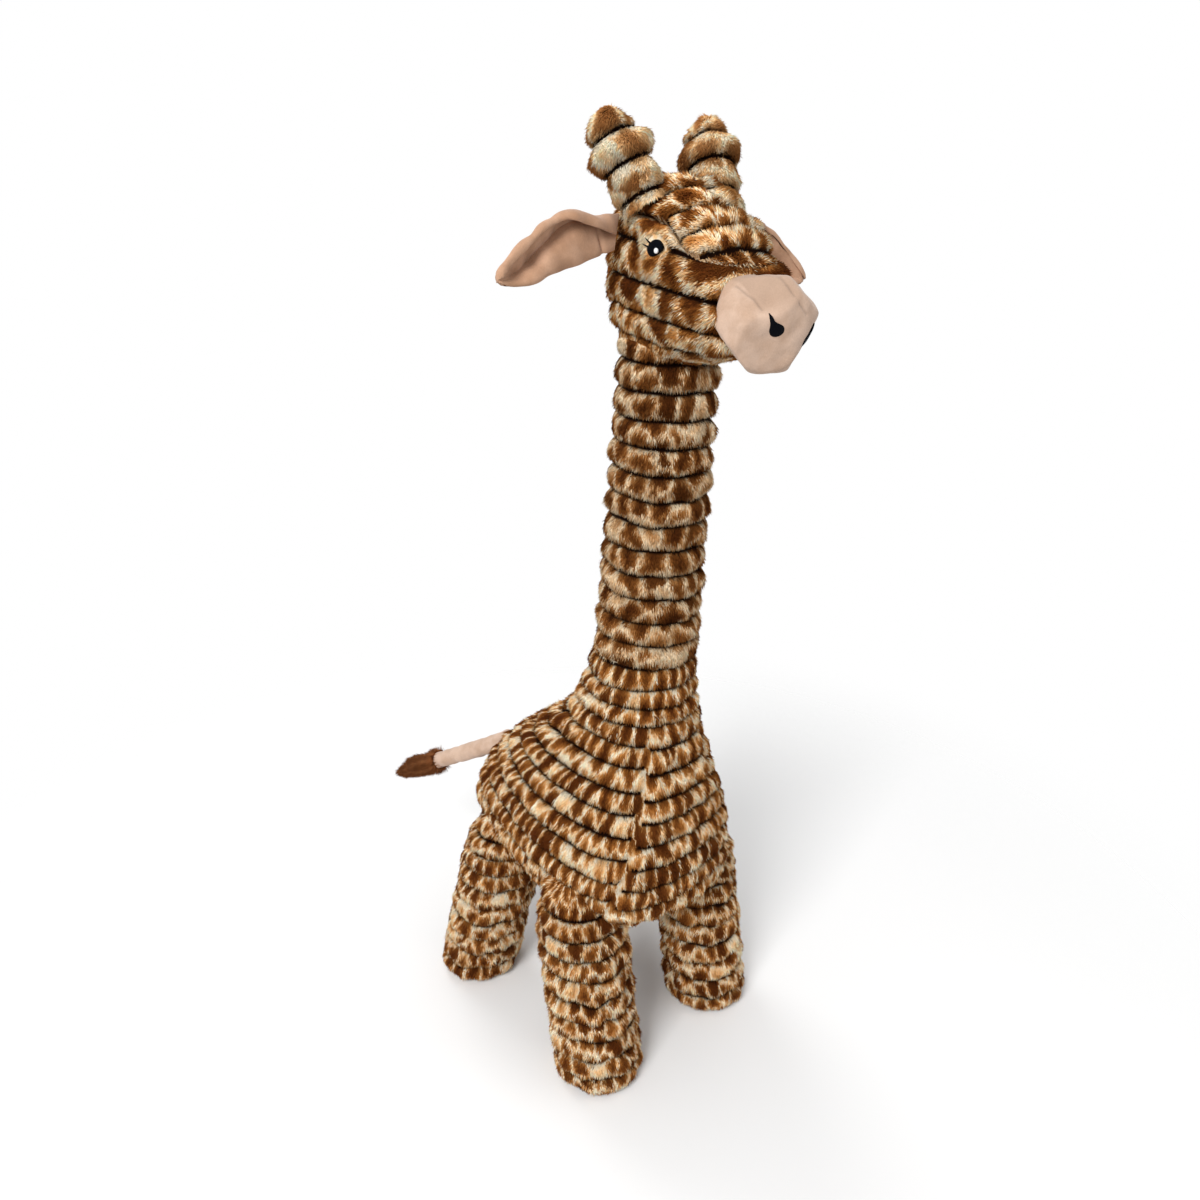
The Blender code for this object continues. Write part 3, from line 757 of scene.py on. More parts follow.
def fur_pile(name: str, cloth: Cloth, pile: Pile, finish: Material,
             clear: Sequence[tuple[Envelope, float]]) -> Object:
    """Hair over a cloth: thin closed spikes of four faces, spread evenly by area.

    A hair's way is n cos a + d sin a, n the smooth normal, d the lay of the pile on the surface and
    a its lean, which fades towards the groove that it points at. Hair near a groove is shorter.

    Args:
        name: The piece's name.
        cloth: The cloth.
        pile: The hair.
        finish: The material.
        clear: Bodies that hair must not stand in, each with how deep a hair may go.

    Returns:
        The piece.
    """
    rng = np.random.default_rng(pile.seed)
    spots = Spots(cloth, pile.count, rng)
    root, n, relief = spots.at(cloth.points), unit(spots.at(cloth.normals)), unit(spots.at(cloth.relief))
    lay = spots.at(np.broadcast_to(pile.down, cloth.points.shape))
    lay = unit(lay - n * (lay * n).sum(axis=1, keepdims=True))
    rise = spots.at(cloth.rise)
    clump = ripple(root, 0.011, pile.seed + 40)[:, None] * np.cross(n, lay)
    clump += ripple(root, 0.013, pile.seed + 41)[:, None] * n
    stray = rng.normal(size=(pile.count, 3))
    lean = pile.lean * smooth(0.1, 0.85, rise) + rng.normal(0.0, 0.12, pile.count)
    way = (0.45 * n + 0.55 * relief) * np.cos(lean)[:, None] + lay * np.sin(lean)[:, None]
    way = unit(way + pile.clump * clump + pile.stray * stray)
    way = unit(way + n * np.maximum(0.0, pile.stand - (way * relief).sum(axis=1))[:, None])
    length = pile.length * (0.08 + 0.92 * rise**1.3) * rng.uniform(0.78, 1.18, pile.count)
    length = length * (1.0 + 0.12 * ripple(root, 0.009, pile.seed + 42))
    tip = root + way * length[:, None]
    keep = tip[:, 2] > pile.floor
    for body, slack in clear:
        keep &= np.maximum(body.depth(tip), body.depth((root + tip) / 2.0)) <= slack
    root, tip, way = root[keep], tip[keep], way[keep]
    spots.keep(keep)
    return make_mesh(name, *spikes(root, tip, way, pile, rng), finish, threads_of(spots, cloth, rng))


def spikes(root: Array, tip: Array, way: Array, pile: Pile,
           rng: np.random.Generator) -> tuple[Array, Faces]:
    """A spike for each hair: three points round its root, a little sunk, and its tip.

    Args:
        root: The roots.
        tip: The tips.
        way: The hairs' directions.
        pile: The hair.
        rng: The draws.

    Returns:
        The points, four for each hair, and the faces.
    """
    total = len(root)
    spin = rng.uniform(0.0, ROUND, total)
    u = unit(np.cross(way, np.array([0.31, 0.87, 0.38])))
    w = np.cross(way, u)
    base, radius = root - way * pile.sink, pile.width * 0.6
    ring = [base + radius * (u * np.cos(q)[:, None] + w * np.sin(q)[:, None])
            for q in (spin, spin + 2.0944, spin + 4.1888)]
    cells = math.ceil(math.sqrt(total))
    corner = np.stack(np.divmod(np.arange(total), cells), -1) / cells
    shape = np.array([[0.05, 0.05], [0.95, 0.05], [0.5, 0.95], [0.5, 0.35]]) / cells
    faces = Faces()
    for order in ([0, 2, 1], [0, 1, 3], [1, 2, 3], [2, 0, 3]):
        faces.add(4 * np.arange(total)[:, None] + order, corner[:, None, :] + shape[order])
    return np.stack([*ring, tip], axis=1).reshape(-1, 3), faces


def threads_of(spots: Spots, cloth: Cloth, rng: np.random.Generator) -> dict[str, Array]:
    """What the material reads at each of a hair's four points.

    Args:
        spots: The places of the hairs.
        cloth: The cloth.
        rng: The draws.

    Returns:
        The place on the print, a little strayed, and the hair's shade, height and plainness.
    """
    grids = (cloth.along, cloth.rib, cloth.seam, cloth.plain)
    along, rib, seam, plain = (spots.at(values) for values in grids)
    total = len(along)
    threads = np.stack([along, rib, np.full(total, cloth.seed)], -1)
    threads[:, :2] += rng.normal(size=(total, 2)) * np.array([0.0009, 0.04])
    # Each hair's shade is a random tone, darkened into the seams as painted shade.
    shade = np.clip(0.5 + 0.08 * rng.normal(size=total), 0.0, 1.0) * smooth(0.0, 0.9, seam)
    # Height runs from 0.2 at the root to 1 at the tip; the material paints the roots darker by it, as painted
    # shade.
    height = np.tile([0.2, 0.2, 0.2, 1.0], total)
    lay = np.stack([np.repeat(shade, 4), height, np.repeat(plain, 4)], -1)
    return {"cloth": np.repeat(threads, 4, axis=0), "lay": lay}


# Finishes


@dataclass(frozen=True)
class FurFinish:
    """Printed plush fur: brown patches, darkest in their middles, that fade through gold into cream.

    Lengths are in cells of the print, and a patch's depth is how far a place lies from its edge.
    """

    name: str
    cell: float
    ribs_per_cell: float
    drift: float
    bare: float = 0.9
    apart: float = 1.0
    deep: Colour = srgb(92, 46, 16)
    brown: Colour = srgb(152, 92, 40)
    gold: Colour = srgb(204, 141, 76)
    sand: Colour = srgb(252, 210, 156)
    cream: Colour = srgb(255, 243, 218)
    # Dark thread in the grooves, darkened further as painted shade.
    pit: Colour = srgb(30, 11, 4)
    edges: tuple = (0.0, 0.055, 0.11, 0.21, 0.42)
    jumps: tuple = (7.31, 3.17)
    streaks: tuple = (4.0, 2.2, 1.0)
    grains: tuple = (26.0, 12.0, 1.0)
    streaky: float = 0.17
    grainy: float = 0.07
    slant: float = 0.1
    uneven: float = 0.04
    gloss: float = 0.04

    def depth(self, bench: Bench, flat: Flow, plain: Flow, grain: Flow) -> tuple[Flow, Flow]:
        """Depth into a patch: a 2-D Voronoi's distance to its edge, on cloth bent by noise.

        Args:
            bench: The tree.
            flat: The place on the print.
            plain: How plain the cloth is.
            grain: Fine noise.

        Returns:
            The depth, and how dark the patch's middle is.
        """
        bend = bench.vector("SUBTRACT", bench.noise(flat, 1.9, 4.0, 0.72, 1), (0.5, 0.5, 0.5))
        spot = bench.vector("ADD", flat, bench.vector("SCALE", bend, self.drift))
        feeds = {"Vector": spot, "Scale": 1.0, "Randomness": 0.88}
        edge, cell = (bench.node("ShaderNodeTexVoronoi", {"voronoi_dimensions": "2D", "feature": kind}, feeds)
                      for kind in ("DISTANCE_TO_EDGE", "F1"))
        lots, middle = cell.beside("Color", "Position")
        lot, tone, dark = bench.parts(lots)
        off = bench.parts(spot)[0] - bench.parts(middle)[0]
        streak = bench.noise(bench.vector("MULTIPLY", flat, self.streaks), 1.0, 2.0)
        depth = edge + self.streaky * (streak - 0.5) + self.slant * off * tone
        depth = depth + self.uneven * (tone - 0.5) + self.grainy * (grain - 0.5)
        bare = 1.0 - 0.75 * lot.rise(self.bare, self.bare + 0.05)
        return depth * (0.72 + 0.5 * tone) * bare * (1.0 - 0.7 * plain.rise(0.6, 1.0)), dark

    def make(self) -> Material:
        """The print, with darker middles; painted shade darkens all of it into the grooves, into the seams
        and towards the hairs' roots.

        The print starts anew on each rib where apart is over 1.

        Returns:
            The material.
        """
        bench = Dye(self.name, self.brown, 0.95)
        along, rib, seed = bench.stored("cloth")
        shade, height, plain = bench.stored("lay")
        turn = rib.math("FRACT")
        x = along / self.cell + seed * self.jumps[0]
        y = (turn + (rib - turn) * self.apart) / self.ribs_per_cell + seed * self.jumps[1]
        flat = bench.node("ShaderNodeCombineXYZ", {}, {0: x, 1: y, 2: seed})
        grain = bench.noise(bench.vector("MULTIPLY", flat, self.grains), 1.0, 2.0)
        depth, dark = self.depth(bench, flat, plain, grain)
        stops = tuple(zip(self.edges, (self.cream, self.sand, self.gold, self.brown, self.deep)))
        colour = bench.node("ShaderNodeValToRGB", {"stops": stops}, {0: depth})
        colour = bench.mix(0.75 * dark.rise(0.35, 1.0) * depth.rise(0.06, 0.2), colour, self.deep)
        near = turn.math("MINIMUM", 1.0 - turn).math("MAXIMUM", plain * 0.5)
        # The groove's dark line: dark thread, deepened by painted shade in the groove.
        colour = bench.mix(near.rise(0.045, 0.14), self.pit, colour)
        # Painted shade: darker towards the grooves, towards the hairs' roots and into the seams; shade also
        # holds a random tone for each hair.
        level = (0.66 + 0.34 * near.rise(0.08, 0.38)) * (0.8 + 0.44 * height) * (0.5 + shade)
        lit = bench.vector("SCALE", colour, level * (0.86 + 0.28 * grain))
        bench.give("Base Color", bench.vector("MINIMUM", lit, (1.0, 1.0, 1.0)))
        bench.give("Specular IOR Level", self.gloss)
        return bench.material


@dataclass(frozen=True)
class VelourFinish:
    """Short velour: a fine nap, brushed lighter and darker in soft patches."""

    name: str
    colour: Colour
    shadow: Colour
    nap: float = 900.0
    patch: float = 55.0
    sheen: float = 0.15

    def make(self) -> Material:
        """Brushed patches are low noise, the nap is fine noise in colour and bump, and seams are darker; the
        bridge panel is mixed towards the shaded colour and darkened as painted shade.

        Returns:
            The material.
        """
        bench = Dye(self.name, self.colour, 0.88)
        place = bench.place()
        brushed = bench.noise(place, self.patch, 3.0).rise(0.34, 0.68)
        nap = bench.noise(place, self.nap, 2.0, 0.7)
        seam, bridge, _ = bench.stored("lay")
        # Painted shade: the bridge panel takes more of the shaded colour, and is darker.
        colour = bench.mix(brushed * (1.0 - 0.8 * bridge), self.shadow, self.colour)
        level = (0.86 + 0.26 * nap) * (1.0 - 0.26 * seam) * (1.0 - 0.1 * bridge)
        bench.give("Base Color", bench.vector("SCALE", colour, level))
        bench.bump(nap + 0.6 * brushed, 0.35, 0.0006)
        bench.give("Sheen Weight", self.sheen)
        return bench.material


@dataclass(frozen=True)
class ThreadFinish:
    """Satin stitch: close threads laid side by side."""

    name: str
    colour: Colour
    roughness: float = 0.38
    pitch: float = 0.00045
    gloss: float = 0.04

    def make(self) -> Material:
        """Threads are sine bands over the piece's height, broken a little by noise, painted lighter on their
        crests and darker between them as painted highlight and shade.

        Returns:
            The material.
        """
        bench = Dye(self.name, self.colour, self.roughness)
        place = bench.place()
        _, y, z = bench.parts(place)
        wave = (z + 0.25 * y + 0.0006 * bench.noise(place, 400.0, 1.0)) * (ROUND / self.pitch)
        band = 0.5 + 0.5 * wave.math("SINE")
        # Painted highlight and shade: each thread lighter on its crest and darker between threads.
        bench.give("Base Color", bench.vector("SCALE", self.colour, 0.7 + 0.6 * band))
        bench.bump(band, 0.6, 0.0002)
        bench.give("Specular IOR Level", self.gloss)
        return bench.material


# Shapes in common


def curve_at(x: Array, marks: Sequence[tuple[float, float]], blur: float) -> Array:
    """A value that runs through marks of place and value, smoothed by the mean over twice the blur."""
    place, value = np.array(marks).T
    return sum(np.interp(x + d * blur, place, value) for d in (-1.0, -0.5, 0.0, 0.5, 1.0)) / 5.0


def circle(count: int) -> Array:
    """Points of a unit circle, without the last that closes it."""
    angle = np.linspace(0.0, ROUND, count + 1)[:-1]
    return np.stack([np.cos(angle), np.sin(angle)], -1)


def spread(low: Any, high: Any, share: Array) -> Array:
    """Places between two ends: a row for each share, and a column for each column of the ends."""
    return low + (high - low) * share[:, None]


def rim_of(marks: Sequence[tuple[float, float]], hand: float, grown: float = 1.1,
           count: int = 48) -> Array:
    """A closed B-spline over marks for the right side, mirrored by the hand and grown for its cut corners."""
    index, shares = knots(np.linspace(0.0, len(marks), count + 1)[:-1], len(marks), True)
    return (np.array(marks)[index] * shares[..., None]).sum(axis=1) * np.array([-hand * grown, grown])


def sheet_of(net: Array, u: Array, v: Array) -> Array:
    """A tensor B-spline surface at pairs of places, closed across its columns.

    Args:
        net: Control points, rows by columns by 3.
        u: Places along the rows.
        v: Places round the columns.

    Returns:
        The points.
    """
    u, v = np.broadcast_arrays(u, v)
    iu, wu = knots(u.ravel(), net.shape[0], False)
    iv, wv = knots(v.ravel(), net.shape[1], True)
    total = np.zeros((u.size, 3))
    for i in range(4):
        for j in range(4):
            total += net[iu[:, i], iv[:, j]] * (wu[:, i] * wv[:, j])[:, None]
    return total.reshape(*u.shape, 3)


class Shell:
    """A closed B-spline surface over rings, with columns that lie evenly on one of them.

    Its net closes on a hub at each end: a row of the hub, then a mirrored row beyond. The surface
    meets its hubs at 1 and at last. Its first and last columns are the same line.
    """

    def __init__(self, rings: Sequence[Array], row: float, start: float, count: int) -> None:
        """Close the net and place its columns.

        Args:
            rings: Rings of control points.
            row: The row that the columns lie evenly on.
            start: Where the first column lies, in control points round the ring.
            count: How many columns.
        """
        first, end = (np.broadcast_to(ring.mean(axis=0), ring.shape) for ring in (rings[0], rings[-1]))
        self.net = np.stack([2 * first - rings[0], first, *rings, end, 2 * end - rings[-1]])
        self.last = len(self.net) - 2.0
        v = start + np.linspace(0.0, len(rings[0]), 721)
        run = run_along(sheet_of(self.net, np.array(row), v))
        self.columns = np.interp(np.linspace(0.0, run[-1], count + 1), run, v)

    def at(self, u: Array) -> Array:
        """Points at places along the rows, with one column of them or one for each of its own."""
        return sheet_of(self.net, u, self.columns)


def even_steps(points: Array, step: float) -> Array:
    """Shares of a run of rows, 0 to 1, that lie about step apart by their mean arc length.

    Args:
        points: Fine rows of points at even shares.
        step: The wanted distance.

    Returns:
        The shares.
    """
    steps = np.linalg.norm(np.diff(points, axis=0), axis=-1).mean(axis=1)
    run = np.concatenate([[0.0], np.cumsum(steps)])
    count = max(6, int(round(run[-1] / step)))
    return np.interp(np.linspace(0.0, run[-1], count + 1), run, np.linspace(0.0, 1.0, len(points)))


@dataclass
class Pins:
    """What every sub-assembly shares: its finishes, and the envelopes of the bodies made so far."""

    bars: Material
    rings: Material
    blotches: Material
    spots: Material
    puffs: Material
    velour: Material
    ear: Material
    tuft: Material
    navy: Material
    white: Material
    hair: float
    bodies: dict[str, Envelope] = field(default_factory=dict)

    def settle(self, piece: Object, slot: Slot, nodes: Sequence[str] = (), fill: float | None = None,
               body: Body = Body.GIRAFFE) -> None:
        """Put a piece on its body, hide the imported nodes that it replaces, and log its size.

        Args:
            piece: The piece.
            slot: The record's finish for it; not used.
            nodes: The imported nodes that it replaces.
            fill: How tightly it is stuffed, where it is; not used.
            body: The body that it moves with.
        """
        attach(piece, body.value)
        if nodes:
            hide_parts(*nodes)
        LOG.info("%s: %d points, %d faces", piece.name, len(piece.data.vertices), len(piece.data.polygons))

    def cover(self, node: str, cloth: Cloth, finish: Material, fill: float,
              body: Body = Body.GIRAFFE, slot: Slot = Slot.FUR) -> None:
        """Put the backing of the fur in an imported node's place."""
        self.settle(fur_skin(f"{node}_skin", cloth, finish), slot, [node], fill, body)

    def grow(self, name: str, cloth: Cloth, finish: Material, pile: Pile,
             body: Body = Body.GIRAFFE, slot: Slot = Slot.FUR) -> None:
        clear = [(self.bodies[key], slack) for key, slack in pile.clear]
        thinned = replace(pile, count=int(pile.count * self.hair))
        self.settle(fur_pile(name, cloth, thinned, finish, clear), slot, body=body)


@dataclass
class Part:
    """A sub-assembly, with what it shares with the others."""

    pins: Pins


# Torso


@dataclass
class Torso(Part):
    """The bell-shaped body: flank panels, a chest panel between two corner seams, and a belly panel.

    A section is a place from belly to neck seam, then shares of the chest's, the rump's and the half
    width's reach, the superellipse's power, and the taper towards the rump. The rib tables are heights
    of grooves from the top down, and the spine is height, place behind the neck's axis and arc.
    """

    belly: float = 0.1545
    neck_seam: float = 0.403
    chest: float = 0.066
    rump: float = 0.208
    half_width: float = 0.086
    lean: float = math.radians(4.3)
    depth: float = 0.0078
    lift: float = 0.0012
    step: float = 0.0015
    columns: int = 208
    hairs: int = 49000
    sections: tuple = (
        (0.0, 0.45, 0.84, 0.62, 2.4, 0.14), (0.035, 0.84, 0.97, 0.89, 2.7, 0.14),
        (0.1, 0.98, 1.0, 1.01, 2.9, 0.14), (0.18, 1.0, 0.995, 1.02, 2.9, 0.14),
        (0.27, 1.0, 0.956, 0.99, 2.9, 0.14), (0.36, 0.97, 0.885, 0.92, 2.8, 0.13),
        (0.46, 0.91, 0.785, 0.83, 2.6, 0.12), (0.57, 0.81, 0.6, 0.72, 2.5, 0.09),
        (0.68, 0.72, 0.405, 0.615, 2.4, 0.06), (0.787, 0.655, 0.32, 0.548, 2.2, 0.03),
        (0.895, 0.63, 0.258, 0.512, 2.0, 0.0), (1.0, 0.636, 0.212, 0.494, 2.0, 0.0),
        (1.1, 0.636, 0.208, 0.49, 2.0, 0.0),
    )
    flank: tuple = (0.4001, 0.3809, 0.3646, 0.35, 0.333, 0.315, 0.2945, 0.276, 0.2565, 0.2375,
                    0.2165, 0.197, 0.178, 0.16, 0.142)
    front: tuple = (0.4001, 0.3809, 0.3646, 0.35, 0.33, 0.308, 0.2865, 0.268, 0.249, 0.229,
                    0.2085, 0.19, 0.17, 0.152, 0.134)
    spine: tuple = (
        (0.403, -0.0618, 0.0), (0.3764, -0.0523, 0.0282), (0.3491, -0.0394, 0.0584),
        (0.322, -0.0217, 0.0908), (0.2942, 0.0189, 0.14), (0.2664, 0.0574, 0.1875),
        (0.2411, 0.0782, 0.2203), (0.2183, 0.0929, 0.2474), (0.1955, 0.101, 0.2716),
        (0.1753, 0.1021, 0.2918), (0.1589, 0.0958, 0.309), (0.15, 0.0688, 0.33),
    )
    spine_pitch: float = 0.0233
    spine_start: float = -0.05
    spine_fade: tuple = (0.385, 0.305)
    neck_pitch: float = 0.02
    belly_pitch: float = 0.021
    belly_tilt: float = -0.72
    corner_heights: tuple = (0.17, 0.205, 0.314, 0.34)
    corner_places: tuple = (0.077, 0.07, 0.033, 0.03)
    corner_top: tuple = (0.345, 0.318)
    corner_back: tuple = (-0.105, -0.125)
    corner_draw: float = 0.55
    corner_width: float = 0.006
    corner_gap: tuple = (0.0026, 0.0012)
    panel_back: tuple = (-0.085, -0.095)
    panel_edge: float = 0.0012
    middle: tuple = (0.0, -0.055, 0.255)

    def ring(self, place: float, chest: float, rump: float, width: float, *shape: float) -> Array:
        """A section's control ring, level between chest and rump and wider at the chest."""
        fore, back = -self.chest * chest, self.rump * rump
        middle = np.array([0.0, (fore + back) / 2.0, self.belly + (self.neck_seam - self.belly) * place])
        return ring(self.half_width * width, (back - fore) / 2.0, *shape) + middle + STANCE

    def over(self, p: Array) -> Array:
        """How far points lie above the leaning neck seam."""
        back, up = p[..., 1] - STANCE[1], p[..., 2] - self.neck_seam
        return up * math.cos(self.lean) - back * math.sin(self.lean)

    def ribs(self, p: Array) -> tuple[Array, Array]:
        """Rib numbers on the flanks and on the chest panel.

        Flank ribs are level, and climb to even steps along the spine behind the neck. The chest
        panel's ribs lie lower below its corner seams.

        Args:
            p: Points.

        Returns:
            The flank's number and the chest's.
        """
        y, z = p[..., 1], p[..., 2]
        count = np.arange(len(self.flank), dtype=float)[::-1]
        above = np.maximum(z - self.flank[0], 0.0) / self.neck_pitch
        level, chest = (np.interp(z, heights[::-1], count) - above for heights in (self.flank, self.front))
        height, back, arc = np.array(self.spine)[::-1].T
        spine = np.interp(z, height, arc / self.spine_pitch)
        behind = y - self.spine_start
        share = smooth(0.0, 1.0, behind / (np.interp(z, height, back) - self.spine_start).clip(0.004))
        share = share * smooth(*self.spine_fade, z) * (behind > 0.0)
        return level * (1.0 - share) + spine * share, chest

    def grooves(self, p: Array, n: Array) -> tuple[Array, Array, Array]:
        """Rib numbers and seams over the body; the belly panel's ribs run across.

        Args:
            p: Points.
            n: Their normals.

        Returns:
            The rib number, the seam's rise, 0 in a seam, and where a corner seam breaks the grooves.
        """
        x, y, z = p[..., 0], p[..., 1], p[..., 2]
        flank, chest = self.ribs(p)
        off = np.abs(x) - np.interp(z, self.corner_heights, self.corner_places)
        active = smooth(*self.corner_top, z) * smooth(*self.corner_back, y)
        ahead = smooth(*self.panel_back, y) * smooth(self.panel_edge, -self.panel_edge, off)
        seam = 1.0 - active * (1.0 - smooth(0.0, self.corner_width, np.abs(off))) * self.corner_draw
        under = n[..., 2] < self.belly_tilt
        rib = np.where(under, y / self.belly_pitch + 20.5, flank + (chest - flank) * ahead)
        seam = seam * (0.25 + 0.75 * smooth(0.0, 0.1, np.abs(n[..., 2] - self.belly_tilt)))
        return rib, seam, GROOVELESS * active * smooth(*self.corner_gap, np.abs(off)) * ~under

    def build(self) -> None:
        """Work out the surface up to the neck's seam and stitch it.

        The print runs along each rib by the rib's own length, shared by the turn of its column.
        """
        shell = Shell([self.ring(*section) for section in self.sections], 6.0, 5.0, self.columns)
        fine = np.linspace(1.0, shell.last, 500)
        top = crossing(self.over(shell.at(fine[:, None])), fine)
        p = shell.at(spread(1.0, top, np.linspace(0.0, 1.0, 400)))
        self.pins.bodies["torso"] = Envelope(p, self.middle)
        p = shell.at(spread(1.0, top, even_steps(p, self.step)[1:]))
        rib, seam, broken = self.grooves(p, wrapped_normals(p))
        steps = np.linalg.norm(np.diff(p, axis=1), axis=-1)
        run = np.concatenate([np.zeros((len(p), 1)), np.cumsum(steps, axis=1)], axis=1)
        middles = np.arange(len(self.flank)) + 0.5
        wide = np.interp(np.floor(rib) + 0.5, middles, np.interp(self.flank, p[:, 0, 2], run[:, -1]))
        cloth = Cloth(p, (run / run[:, -1:] - 0.5) * wide, rib, 1.0, seam, broken)
        self.cloth = cloth.stitch(self.depth, self.lift)
        self.pins.cover("torso", self.cloth, self.pins.bars, 0.8)

    def dress(self) -> None:
        """Lay the hair, right and left, clear of the legs and the neck."""
        clear = [*((key, 0.006) for key in self.pins.bodies if "leg" in key), ("neck", 0.0015)]
        middle = self.columns // 2
        for side, columns in ((Side.RIGHT, slice(0, middle + 1)), (Side.LEFT, slice(middle, None))):
            pile = Pile(self.hairs, 11 + int(side.value), clear, length=0.0041)
            self.pins.grow(f"torso_pile_{side.word}", self.cloth.columns(columns), self.pins.bars, pile)


# Neck


@dataclass
class Neck(Part):
    """Twelve stuffed rings on a leaning axis, from the torso's seam up under the head."""

    foot: float = 0.403
    lean: float = math.radians(4.3)
    wide: float = 0.0415
    narrow: float = 0.0362
    rings: int = 12
    pitch: float = 0.02
    reach: float = 0.03
    start: float = 0.0003
    depth: float = 0.0082
    lift: float = 0.0012
    rows: int = 178
    columns: int = 116
    hairs: int = 49000

    def __post_init__(self) -> None:
        """Set the axis, its foot and the turn of each column."""
        self.axis = np.array([0.0, -math.sin(self.lean), math.cos(self.lean)])
        self.base = STANCE + self.foot * UP
        self.turn = np.linspace(0.0, ROUND, self.columns + 1)

    def at(self, h: Array) -> Array:
        """Points at heights up the axis; the radius runs evenly from wide to narrow.

        Args:
            h: Heights, with one column or one for each turn.

        Returns:
            The points.
        """
        radius = self.wide - (self.wide - self.narrow) * h / (self.rings * self.pitch)
        fore, side = np.cos(self.turn)[:, None], np.sin(self.turn)[:, None]
        ring = fore * np.cross(self.axis, ACROSS) + side * ACROSS
        return self.base + h[..., None] * self.axis + radius[..., None] * ring

    def build(self) -> None:
        """Close the rings on the head's underside and stitch them, a little unevenly."""
        span = np.linspace(0.0, self.rings * self.pitch + self.reach, 300)
        p = self.at(span[:, None])
        self.pins.bodies["neck"] = Envelope(p, self.base + self.axis * 0.13)
        top = crossing(self.pins.bodies["head"].depth(p) + 0.0005, span)
        h = spread(self.start, top, np.linspace(0.0, 1.0, self.rows))
        p = self.at(h)
        rib = h / self.pitch + 0.03 * ripple(p, 0.045, 18) * smooth(0.002, 0.015, h)
        cloth = Cloth(p, self.turn * (self.wide + self.narrow) / 2.0, rib, 2.0)
        self.cloth = cloth.stitch(self.depth, self.lift)
        self.pins.cover("neck", self.cloth, self.pins.rings, 0.8)

    def dress(self) -> None:
        """Lay the hair, clear of the head."""
        self.pins.grow("neck_pile", self.cloth, self.pins.rings, Pile(self.hairs, 21, [("head", 0.001)]))


# Head


